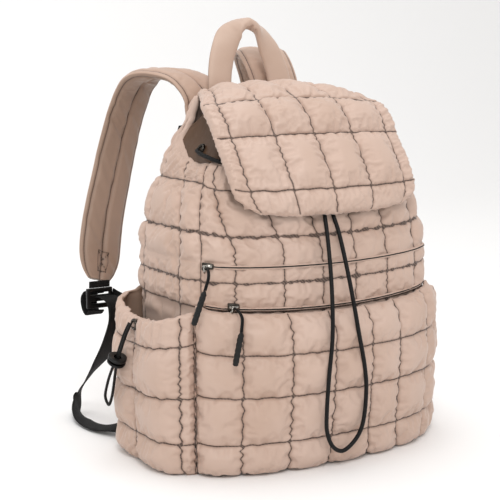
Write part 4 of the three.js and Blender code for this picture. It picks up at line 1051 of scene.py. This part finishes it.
def flipOut(piece):
    # turns the faces outwards where a sweep came out inside out
    work = bmesh.new()
    work.from_mesh(piece.data)
    bmesh.ops.recalc_face_normals(work, faces=work.faces)
    work.to_mesh(piece.data)
    work.free()
    return piece


handleRows = {
    "across": [1, 0.985, 0.9, 0.74, 0.52, 0.26, 0], "height": [0, 0.2, 0.42, 0.64, 0.84, 0.96, 1],
    "lean": [0, 0.2, 0.5, 0.8, 1, 1, 1], "turn": [0, 0, 0.05, 0.15, 0.45, 0.85, 1],
}
handle = {"width": 28.0, "thick": 9.0, "span": 38.0, "rise": 78.0, "lean": 12.0, "behind": 0.5,
          "steps": 200, "around": 44, "pinch": 0.14, "bunch": 0.3}


def grabHandle(look):
    rows = handleRows
    sides = [1] * 7 + [-1] * 6
    order = list(range(7)) + list(range(5, -1, -1))
    back = form["sectionCentre"] + form["backDepth"] - form["padding"] / 2 + look["behind"]
    points = np.array([[side * rows["across"][k] * look["span"], back + rows["lean"][k] * look["lean"],
                        form["backHeight"] + 2 * form["gap"] + rows["height"][k] * look["rise"]]
                       for side, k in zip(sides, order)])
    widths = []
    for i, (side, k) in enumerate(zip(sides, order)):
        along = unit(points[min(i + 1, 12)] - points[max(i - 1, 0)])
        angle = rows["turn"][k] * math.pi / 2
        level = np.array([along[2], 0, -along[0]])
        widths.append(level * math.cos(angle) + np.array([0, math.sin(angle), 0]))
    path = centripetal(points, look["steps"])
    wide = centripetal(np.array(widths), look["steps"])
    angles = np.linspace(0, 2 * math.pi, look["around"], endpoint=False)
    c, s = np.cos(angles), np.sin(angles)

    def section(share):
        top = math.exp(-((share - 0.5) / 0.13) ** 2)
        w = look["width"] / 2 * (1 - look["pinch"] * top)
        t = look["thick"] / 2 * (1 + look["bunch"] * top)
        x = w * np.sign(c) * np.abs(c) ** 0.75
        y = t * np.sign(s) * np.abs(s) ** 0.85
        folds = softNoise(share * 34, angles * 1.1 + 3 * share, 91) * (0.35 + 1.6 * top)
        creases = softNoise(share * 90, np.cos(angles) * 1.5, 92) * (0.12 + 0.9 * top)
        inner = 0.5 - 0.5 * s
        grow = 1 + 0.06 * folds + 0.05 * creases * inner
        return np.stack([x * (1 + 0.03 * folds), y * grow + 0.5 * folds * (0.3 + top)], axis=1)

    def seam(run, k):
        return np.abs(np.where(k < look["around"] / 2, k, look["around"] - k)) * 1.6 + 0.3 + 0 * run

    return swept("grabHandle", path, wide, section, [handleShadedNylon], attributes=seam)


finishPiece(flipOut(grabHandle(handle)), ["grab_handle"])

strap = {"width": 58.0, "thick": 13.0, "taper": 9.0, "steps": 400, "half": 44, "reach": 92.0,
         "groove": 2.6, "piping": 0.87, "boxHalf": 8.0, "boxFrom": 9.0, "boxTo": 31.0,
         "plane": form["sectionCentre"] + form["backDepth"] + 4.0 + form["gap"] + 6.5}
strapRows = {
    "left": {"out": [0.29, 0.335, 0.42, 0.53, 0.64, 0.67, 0.71, 0.765, 0.85, 0.95, 1.03, 1.075],
             "back": [0, 0.04, 0.19, 0.38, 0.6, 0.79, 0.91, 0.96, 0.92, 0.81, 0.66, 0.55],
             "up": [0.925, 1.005, 1.05, 1.067, 1.06, 1.022, 0.953, 0.862, 0.746, 0.63, 0.53, 0.455],
             "yaw": [0, 6, 14, 18, 20, 20, 20, 20, 20, 20, 20, 20]},
    "right": {"out": [0.31, 0.3, 0.29, 0.3, 0.37, 0.5, 0.6, 0.71, 0.83, 0.94, 1.035, 1.075],
              "back": [0, 0.04, 0.16, 0.36, 0.62, 0.84, 0.96, 1.0, 0.96, 0.84, 0.68, 0.55],
              "up": [0.925, 1.02, 1.085, 1.128, 1.125, 1.07, 0.98, 0.872, 0.752, 0.634, 0.53, 0.455],
              "yaw": [0, 4, 8, 12, 16, 18, 20, 20, 20, 20, 20, 20]},
}


def shoulderStrap(name, side, rows, look, seed):
    points = np.stack([side * np.array(rows["out"]) * form["halfWidth"],
                       look["plane"] + np.array(rows["back"]) * look["reach"],
                       np.array(rows["up"]) * form["backHeight"]], axis=1)
    path = centripetal(points, look["steps"])
    yaw = np.radians(np.interp(np.linspace(0, 11, look["steps"]), np.arange(12), rows["yaw"]))
    wide = np.stack([np.cos(yaw), -side * np.sin(yaw), 0 * yaw], axis=1)
    half = look["half"]
    u = np.sin(np.linspace(-1, 1, half + 1) * math.pi / 2)
    lengths = np.concatenate([[0], np.cumsum(np.linalg.norm(np.diff(path, axis=0), axis=1))])
    total = lengths[-1]

    def section(share):
        left = min((1 - share) * look["taper"], 1)
        tip = math.sqrt(1 - 0.75 * (1 - left) ** 2)
        w, t = look["width"] / 2 * tip, look["thick"] / 2 * max(tip, 0.6)
        run = share * total
        body = np.maximum(1 - np.abs(u) ** 3.2, 0) ** 0.55
        groove = 1 - 0.5 * np.exp(-(u * w / look["groove"]) ** 2)
        edge = 1 - 0.28 * np.exp(-((np.abs(u) - look["piping"]) * w / 1.6) ** 2)
        h = t * body * groove * edge
        slanted = softNoise((run + 0.9 * u * w * side) / 8.5, np.sign(u) * 3.3 + run / 90, seed)
        deep = np.exp(-((share - 0.42) / 0.28) ** 2)
        folds = slanted * body * (0.45 + 0.8 * deep)
        small = softNoise(run / 4.5, u * 6, seed + 1) * 0.25 * body
        topside = np.stack([u * w, h + 1.5 * folds + small], axis=1)
        under = np.stack([u * w, -h + 0.5 * folds + small], axis=1)
        return np.concatenate([topside, under[::-1][1:-1]])

    def seam(run, k):
        across = np.concatenate([u, u[::-1][1:-1]]) * look["width"] / 2
        piped = np.abs(np.abs(across) - look["piping"] * look["width"] / 2)
        near = np.minimum(np.abs(across), piped)[None, :] + 0 * run
        # a crossed box is sewn where the webbing goes in
        s = total - run
        x = across[None, :]
        half, low, high = look["boxHalf"], look["boxFrom"], look["boxTo"]
        inBox = (np.abs(x) < half + 1) & (s > low - 1) & (s < high + 1)
        lines = np.minimum(np.abs(np.abs(x) - half), np.minimum(np.abs(s - low), np.abs(s - high)))
        slant = (s - (low + high) / 2) * 0.73
        cross = np.minimum(np.abs(x - slant), np.abs(x + slant)) * 0.8
        return np.where(inBox, np.minimum(near, np.minimum(lines, cross)), near)

    return swept(name, path, wide, section, [strapNylon, strapUndersideClothShade],
                 slotOf=lambda k: 1 if k < half else 0, attributes=seam)


# the strap's underside: a darker copy of the strap cloth, partly browner cloth and partly painted shade
undersideClothShadeLook = dict(strapLook, cloth="#9f8675", cloudy="#937a69", crease="#5d4738")
strapUndersideClothShade = clothNylon("strapUndersideClothShade", undersideClothShadeLook)
for side, name in ((-1, "left"), (1, "right")):
    piece = flipOut(shoulderStrap(f"shoulderStrap_{name}", side, strapRows[name], strap, 95 + side))
    finishPiece(piece, [f"shoulder_strap_{name}"])
print("straps and handle made")

webbing = {"width": 19.0, "thick": 1.6, "stayWidth": 9.0, "tabWidth": 24.0, "across": 12, "edge": 0.55}
# each row: how far out, how far back, how high, the turn of its width in degrees, and its lean back
lowerRows = {"out": [151.5, 151.5, 148, 147, 149, 150, 150, 152, 160, 168, 165, 153, 140, 128],
             "back": [115, 104, 93, 90, 99, 129, 163, 186, 176, 140, 104, 80, 68, 63.6],
             "up": [147, 148.5, 144, 128, 105, 72, 45, 23, 10, 4, 4, 9, 12, 13],
             "wide": [0, 0, 0, 0, 0, 15, 31, 10, -62, -10, 5, 20, 50, 90],
             "deep": [0, 0, 0, 0, 0, 0, 0.47, 1.26, 0.19, 0, 0, 0, 0, 0]}
curlRows = {"out": [157, 157.5, 159, 159, 158, 157], "back": [121, 130, 137, 134, 127, 121],
            "up": [150, 151, 143, 131, 126, 131], "wide": [0] * 6}
stayRows = {"out": [138.7, 137, 129, 121], "back": [117.5, 108, 86, 63.6], "up": [150, 148, 143, 141],
            "wide": [90] * 4}
tabRows = {"out": [155] * 3, "back": [116.9, 116.6, 116.3], "up": [157, 160.6, 164.2], "wide": [0] * 3}


def ribbon(name, rows, side, width, steps, material):
    points = np.stack([side * np.array(rows["out"], float), rows["back"], rows["up"]], axis=1)
    path = centripetal(points, steps)
    size = len(points)
    angle = np.radians(np.interp(np.linspace(0, size - 1, steps), np.arange(size), rows["wide"]))
    deep = np.interp(np.linspace(0, size - 1, steps), np.arange(size), rows.get("deep", [0] * size))
    wide = np.stack([np.cos(angle), -side * deep, -side * np.sin(angle)], axis=1)
    w, t = width / 2, webbing["thick"] / 2
    last = webbing["across"]
    outline = [[facing * (-w + 2 * w * k / last), facing * t * (webbing["edge"] if k in (0, last) else 1.0)]
               for facing in (1, -1) for k in range(last + 1)]
    return flipOut(swept(name, path, wide, lambda share: np.array(outline), [material]))


lockLook = {"xs": [-15, -11.2, -4, 4, 11.2, 15], "zs": [-11, -6.0, -3.6, 3.6, 6.0, 11], "half": 2.0,
            "bow": 0.8, "rounding": 0.9, "place": (155, 117.5, 145.4)}


def ladderLock(name, side, look):
    # a moulded frame with two slots, bars rounded and bowed a little
    xs, zs, half = look["xs"], look["zs"], look["half"]
    points, faces = [], []
    filled = lambda i, j: 0 <= i < 5 and 0 <= j < 5 and not (j in (1, 3) and 1 <= i <= 3)
    index = lambda i, j, face: (i * 6 + j) * 2 + face
    for i in range(6):
        for j in range(6):
            bow = look["bow"] * (1 - (xs[i] / xs[-1]) ** 2) if j in (0, 5) else 0
            for face in (0, 1):
                points.append([xs[i], half * (2 * face - 1) - bow, zs[j]])
    for i in range(5):
        for j in range(5):
            if not filled(i, j):
                continue
            corners = [(i, j), (i + 1, j), (i + 1, j + 1), (i, j + 1)]
            faces.append([index(a, b, 0) for a, b in corners])
            faces.append([index(a, b, 1) for a, b in corners][::-1])
            for k, (di, dj) in enumerate(((0, -1), (1, 0), (0, 1), (-1, 0))):
                if not filled(i + di, j + dj):
                    a, b = corners[k], corners[(k + 1) % 4]
                    faces.append([index(*a, 1), index(*b, 1), index(*b, 0), index(*a, 0)])
    x, y, z = look["place"]
    points = np.array(points) + [side * x, y, z]
    used = sorted({v for face in faces for v in face})
    at = {v: k for k, v in enumerate(used)}
    piece = flipOut(newObject(name, points[used], [[at[v] for v in face] for face in faces], [blackAcetal]))
    bevel = piece.modifiers.new("moulded edge", "BEVEL")
    bevel.width, bevel.segments, bevel.limit_method = look["rounding"] * mm, 3, "ANGLE"
    return piece


for side, name in ((-1, "left"), (1, "right")):
    lock = ladderLock(f"ladderLock_{name}", side, lockLook)
    finishPiece(lock, [f"ladder_lock_{name}"])
    for word, rows, width, steps in (("lower_webbing", lowerRows, webbing["width"], 150),
                                     ("webbing_curl", curlRows, webbing["width"], 50),
                                     ("stay_webbing", stayRows, webbing["stayWidth"], 40),
                                     ("strap_tab", tabRows, webbing["tabWidth"], 8)):
        finishPiece(ribbon(f"{word}Tape_{name}", rows, side, width, steps, blackTape), [f"{word}_{name}"])
print("webbing made")

zips = {"upper": {"low": 200.5, "rise": 5.0, "share": -0.91, "lift": -0.5, "side": -20.0, "out": 10.0},
        "lower": {"low": 158.6, "rise": 9.0, "share": -0.71, "lift": 2.6, "side": -11.0, "out": 20.0}}
zipLook = {"reach": 0.94, "lip": 1.7, "proud": 0.9, "width": 5.0, "thick": 1.6, "steps": 300,
           "sliderThick": 4.5, "pullerLength": 51.0, "tabWidth": 5.6, "tabThick": 4.0, "cordRadius": 0.85,
           "cordHalfGap": 0.9, "ribs": 6.5, "ribDepth": 0.13}
sliderLook = {"foot": [[-4, 5.6], [4, 5.6], [3.4, -1], [2.4, -6], [-2.4, -6], [-3.4, -1]],
              "top": [[-3.9, 5.4], [3.9, 5.4], [3.3, -1], [2.3, -5.8], [-2.3, -5.8], [-3.3, -1]],
              "corner": 1.2, "ring": 3.6, "ringThick": 0.7}


def wallNormal(turn, z, out):
    turn, z = float(turn), float(z)
    across = wallPoint(turn + 0.02, z, out) - wallPoint(turn - 0.02, z, out)
    up = wallPoint(turn, z + 3, out) - wallPoint(turn, z - 3, out)
    return unit(np.cross(across, up))


def coveredZip(name, spec, look):
    # two cloth lips that meet over the coil
    share = np.linspace(-look["reach"], look["reach"], look["steps"])
    z = spec["low"] + spec["rise"] * share ** 2 + look["width"] / 2
    turn = frontTurn(share)
    path = wallPoint(turn, z, form["gap"] + look["proud"])
    up = unit(wallPoint(turn, z + 3, 0) - wallPoint(turn, z - 3, 0))
    w = look["lip"]
    shape = np.array([[-w - 0.4, 0.0], [-w, 1.2], [-w * 0.6, 1.8], [-0.8, 1.9], [-0.66, 1.7], [-0.6, 1.4],
                      [0.6, 1.4], [0.66, 1.7], [0.8, 1.9], [w * 0.6, 1.8], [w, 1.2], [w + 0.4, 0.0],
                      [w, -0.1], [-w, -0.1]])
    ripple = lambda s: 0.16 * softNoise(s * 60, np.arange(14) * 0.7, 111)
    outline = lambda s: shape + np.stack([-0.5 * ripple(s), ripple(s)], axis=1)
    piece = swept(name, path, up, outline, [pufferNylon, zipCoil],
                  slotOf=lambda k: 1 if 4 <= k <= 6 else 0, attributes=lambda run, k: 5.0 + 0 * run + 0 * k)
    return flipOut(piece)


def zipSlider(name, centre, normal, up):
    # a cast slider body with a bridge over it
    side = unit(np.cross(up, normal))
    up = np.cross(normal, side)
    points, faces = [], []

    def block(outline, low, high, tight):
        base = len(points)
        n = len(outline)
        for depth, scale in ((low, tight), (low + 0.4, 1), (high - 0.5, 1), (high, tight)):
            for x, y in outline:
                points.append(centre + side * x * scale + up * y * scale + normal * depth)
        for r in range(3):
            for k in range(n):
                faces.append([base + r * n + k, base + r * n + (k + 1) % n,
                              base + (r + 1) * n + (k + 1) % n, base + (r + 1) * n + k])
        faces.append([base + k for k in range(n)][::-1])
        faces.append([base + 3 * n + k for k in range(n)])

    block(roundCorners(sliderLook["foot"], sliderLook["corner"], 4), 0.0, 1.2, 0.92)
    block(roundCorners(sliderLook["top"], sliderLook["corner"], 4), 1.6, 2.8, 0.9)
    dark = len(faces)
    count = 8

    def wire(middles, outwards, sideways, wide, thick, closed=False):
        base, steps = len(points), len(middles)
        for middle, outward, across in zip(middles, outwards, sideways):
            for k in range(count):
                a = 2 * math.pi * k / count
                points.append(middle + across * wide * math.cos(a) + outward * thick * math.sin(a))
        for i in range(steps if closed else steps - 1):
            for k in range(count):
                n, m = (i + 1) % steps * count, (k + 1) % count
                faces.append([base + i * count + k, base + i * count + m, base + n + m, base + n + k])
        if not closed:
            faces.append([base + k for k in range(count)][::-1])
            faces.append([base + (steps - 1) * count + k for k in range(count)])

    turn = np.linspace(0, math.pi, 12)
    wire([centre + up * 4.2 * math.cos(t) + normal * (2.6 + 1.5 * math.sin(t) ** 0.7) for t in turn],
         [up * math.cos(t) + normal * math.sin(t) for t in turn], [side] * 12, 1.3, 0.6)
    turn = np.linspace(0, 2 * math.pi, 28, endpoint=False)
    out = [np.array([0, 0, -1.0]) * math.cos(t) + unit(normal + side * 0.3) * math.sin(t) for t in turn]
    middle = centre + normal * 4.6 + np.array([0, 0, -3.0]) + up * 2.5
    across = unit(np.cross(out[0], out[7]))
    thick = sliderLook["ringThick"]
    wire([middle + sliderLook["ring"] * o for o in out], out, [across] * 28, thick, thick, closed=True)
    slots = [0] * dark + [1] * (len(faces) - dark)
    return flipOut(newObject(name, points, faces, [blackNickel, brightNickel], slots))


def tubeFaces(faces, base, steps, count):
    # the skin of a tube of rings and its two flat ends
    for i in range(steps):
        for k in range(count):
            n = (k + 1) % count
            faces.append([base + i * count + k, base + i * count + n, base + (i + 1) * count + n,
                          base + (i + 1) * count + k])
    faces += [[base + k for k in range(count)][::-1], [base + steps * count + k for k in range(count)]]


def zipPuller(name, top, spec, look):
    # a thin cord loop and a ribbed moulded grip
    downs = np.array([0, 0.04, 0.14, 0.38, 0.4, 0.97, 1.0])
    outs = np.array([0, 0.45, 0.85, 1, 1, 1, 1])
    rows = np.stack([top[0] + spec["side"] * downs, top[1] - spec["out"] * outs,
                     top[2] - look["pullerLength"] * downs], axis=1)
    turns, sides = 40, 8
    path = centripetal(rows[:4], turns)
    points, faces = [], []
    for offset in (-look["cordHalfGap"], look["cordHalfGap"]):
        shift = np.array([1.0, 0, 0]) * offset * np.sin(np.linspace(0.25, 1, turns) * math.pi * 0.5)[:, None]
        line = path + shift
        along = unit(np.gradient(line, axis=0))
        sideways = unit(np.cross(along, [0, 1.0, 0.02]))
        other = np.cross(along, sideways)
        base = len(points)
        for i in range(turns):
            for k in range(sides):
                a = 2 * math.pi * k / sides
                spoke = sideways[i] * math.cos(a) + other[i] * math.sin(a)
                points.append(line[i] + look["cordRadius"] * spoke)
        tubeFaces(faces, base, turns - 1, sides)
    cordPart = len(faces)
    low, high = rows[3], rows[6]
    along = unit(high - low)
    sideways = unit(np.cross(along, [0, 1.0, 0]))
    other = np.cross(along, sideways)
    length = np.linalg.norm(high - low)
    base = len(points)
    steps, count = 72, 20
    for i in range(steps + 1):
        t = i / steps
        taper = min(1, (0.35 + 6 * t)) * min(1, 0.55 + 9 * (1 - t))
        ribbed = (0.5 + 0.5 * math.cos(2 * math.pi * t * look["ribs"])) ** 3 * (1 if 0.06 < t < 0.94 else 0)
        rib = 1 - look["ribDepth"] * ribbed
        for k in range(count):
            a = 2 * math.pi * k / count
            x = look["tabWidth"] / 2 * taper * rib * np.sign(math.cos(a)) * abs(math.cos(a)) ** 0.5
            y = look["tabThick"] / 2 * taper * rib * np.sign(math.sin(a)) * abs(math.sin(a)) ** 0.5
            points.append(low + along * length * t + sideways * x + other * y)
    tubeFaces(faces, base, steps, count)
    slots = [1] * cordPart + [0] * (len(faces) - cordPart)
    return flipOut(newObject(name, points, faces, [blackRubber, blackBraid], slots))


for name, spec in zips.items():
    finishPiece(coveredZip(f"{name}ZipLips", spec, zipLook), [f"{name}_zip"])
    turn = float(frontTurn(spec["share"]))
    z = spec["low"] + spec["rise"] * spec["share"] ** 2 + zipLook["width"] / 2 + spec["lift"]
    clear = form["gap"] * 3 + zipLook["thick"]
    normal = wallNormal(turn, z, 0)
    centre = wallPoint(turn, z, 0) + normal * clear
    up = unit(wallPoint(turn, z + 3, 0) - wallPoint(turn, z - 3, 0))
    along = unit(wallPoint(turn + 0.02, z, 0) - wallPoint(turn - 0.02, z, 0))
    finishPiece(zipSlider(f"{name}ZipSlider", centre, normal, -along), [f"{name}_zip_slider"])
    top = wallPoint(turn, z, clear + zipLook["sliderThick"] + form["gap"] / 2 + zipLook["tabThick"] * 0.3)
    finishPiece(zipPuller(f"{name}ZipPuller", top, spec, zipLook), [f"{name}_zip_puller"])
print("zips made")

eyeletLook = {"outer": 6.0, "hole": 3.2, "thick": 2.4, "sides": 40, "collarShare": -0.19,
              "collarHeight": 313.0}


def eyelet(name, centre, normal):
    hole, outer, thick = eyeletLook["hole"], eyeletLook["outer"], eyeletLook["thick"]
    middle = (hole + outer) / 2
    profile = [[middle + (outer - hole) / 2 * math.cos(a), thick * (0.15 + 0.85 * max(math.sin(a), 0))]
               for a in np.linspace(-0.15, math.pi + 0.15, 12)]
    profile += [[hole, 0.0], [outer, 0.0]]
    points, faces = lathe(profile, eyeletLook["sides"])
    turn = np.array(Vector((0, 0, 1)).rotation_difference(Vector(normal)).to_matrix())
    return flipOut(newObject(name, points @ turn.T + centre, faces, [blackNickel]))


backTabLook = {"height": 13.0, "reach": 8.0, "clear": {"left": 2.2, "right": 2.8}, "middle": 326.0}
for side, name in ((-1, "left"), (1, "right")):
    turn, z = float(sideTurn(eyeletLook["collarShare"], side)), eyeletLook["collarHeight"]
    collarFace = 0.5 * (3 - form["padding"])
    normal = wallNormal(turn, z, collarFace)
    centre = wallPoint(turn, z, collarFace) + normal * form["gap"] * 2
    finishPiece(eyelet(f"collarEyelet_{name}", centre, normal), [f"collar_eyelet_{name}"])
    centre = sidePocketPlace(0.0, side, casing["height"], casing["full"],
                             sidePocketLook["wall"] + form["gap"] * 3.5)
    ring = eyelet(f"pocketEyelet_{name}", centre, (side, 0, 0))
    finishPiece(ring, [f"pocket_eyelet_{name}"])
    turn = float(sideTurn(1.0, side))
    z = backTabLook["middle"]
    normal = wallNormal(turn, z, 0)
    centre = wallPoint(turn, z, 0) + normal * (backTabLook["clear"][name] + webbing["thick"] / 2)
    up = unit(np.array([0, 0, 1.0]) - normal * normal[2])
    path = centre + np.linspace(-0.5, 0.5, 10)[:, None] * up * backTabLook["height"]
    wide = np.tile(np.cross(up, normal), (10, 1))
    w, t = backTabLook["reach"] / 2, webbing["thick"] / 2
    outline = np.array([[-w, 0.5 * t], [-w * 0.8, t], [w * 0.8, t], [w, 0.5 * t],
                        [w, -0.5 * t], [w * 0.8, -t], [-w * 0.8, -t], [-w, -0.5 * t]])
    tab = flipOut(swept(f"backTabTape_{name}", path, wide, lambda share: outline, [blackTape]))
    finishPiece(tab, [f"back_tab_{name}"])
print("eyelets made")

# a pale paper sweep under one large soft light from the front, one from above and one on the paper
stageLook = {"floor": "#f4f3f2", "worldStrength": 0.85}


def sweptFloor():
    profile = [(-2.5, 0.0)] + [(y, 0.0) for y in np.linspace(-2, 1.6, 10)]
    profile += [(1.6 + 1.2 * math.sin(a), 1.2 - 1.2 * math.cos(a)) for a in np.linspace(0.1, math.pi / 2, 14)]
    profile += [(2.8, 3.5)]
    points = [[x, y * 1000, z * 1000] for y, z in profile for x in (-4000, 4000)]
    faces = [[2 * i, 2 * i + 1, 2 * i + 3, 2 * i + 2] for i in range(len(profile) - 1)]
    material, tree, shader = newMaterial("paperBackdrop")
    shader.inputs["Base Color"].default_value = toLinear(stageLook["floor"])
    shader.inputs["Roughness"].default_value = 0.9
    return newObject("backdrop", points, faces, [material])


sweptFloor()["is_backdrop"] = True
world = bpy.data.worlds.new("studio")
bpy.context.scene.world = world
world.use_nodes = True
world.node_tree.nodes["Background"].inputs["Color"].default_value = toLinear("#ffffff")
world.node_tree.nodes["Background"].inputs["Strength"].default_value = stageLook["worldStrength"]


def areaLight(name, place, aim, size, power):
    data = bpy.data.lights.new(name, "AREA")
    data.shape = "RECTANGLE"
    data.size, data.size_y = size
    data.energy = power
    lamp = bpy.data.objects.new(name, data)
    bpy.context.scene.collection.objects.link(lamp)
    lamp.location = place
    lamp.rotation_mode = "QUATERNION"
    lamp.rotation_quaternion = (Vector(aim) - Vector(place)).to_track_quat("-Z", "Y")


areaLight("keyLight", (-0.8, -1.5, 1.8), (0, 0, 0.22), (0.7, 0.7), 18.0)
areaLight("topLight", (0.0, 0.2, 2.0), (0, 0, 0.2), (1.2, 0.9), 9.0)
areaLight("backLight", (0.0, 1.2, 2.2), (0, 2.8, 1.0), (2.5, 0.6), 10.0)
bpy.context.scene.view_settings.view_transform = "Standard"

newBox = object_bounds()
{"cad": [list(corner) for corner in cadBox], "visual": [list(corner) for corner in newBox]}
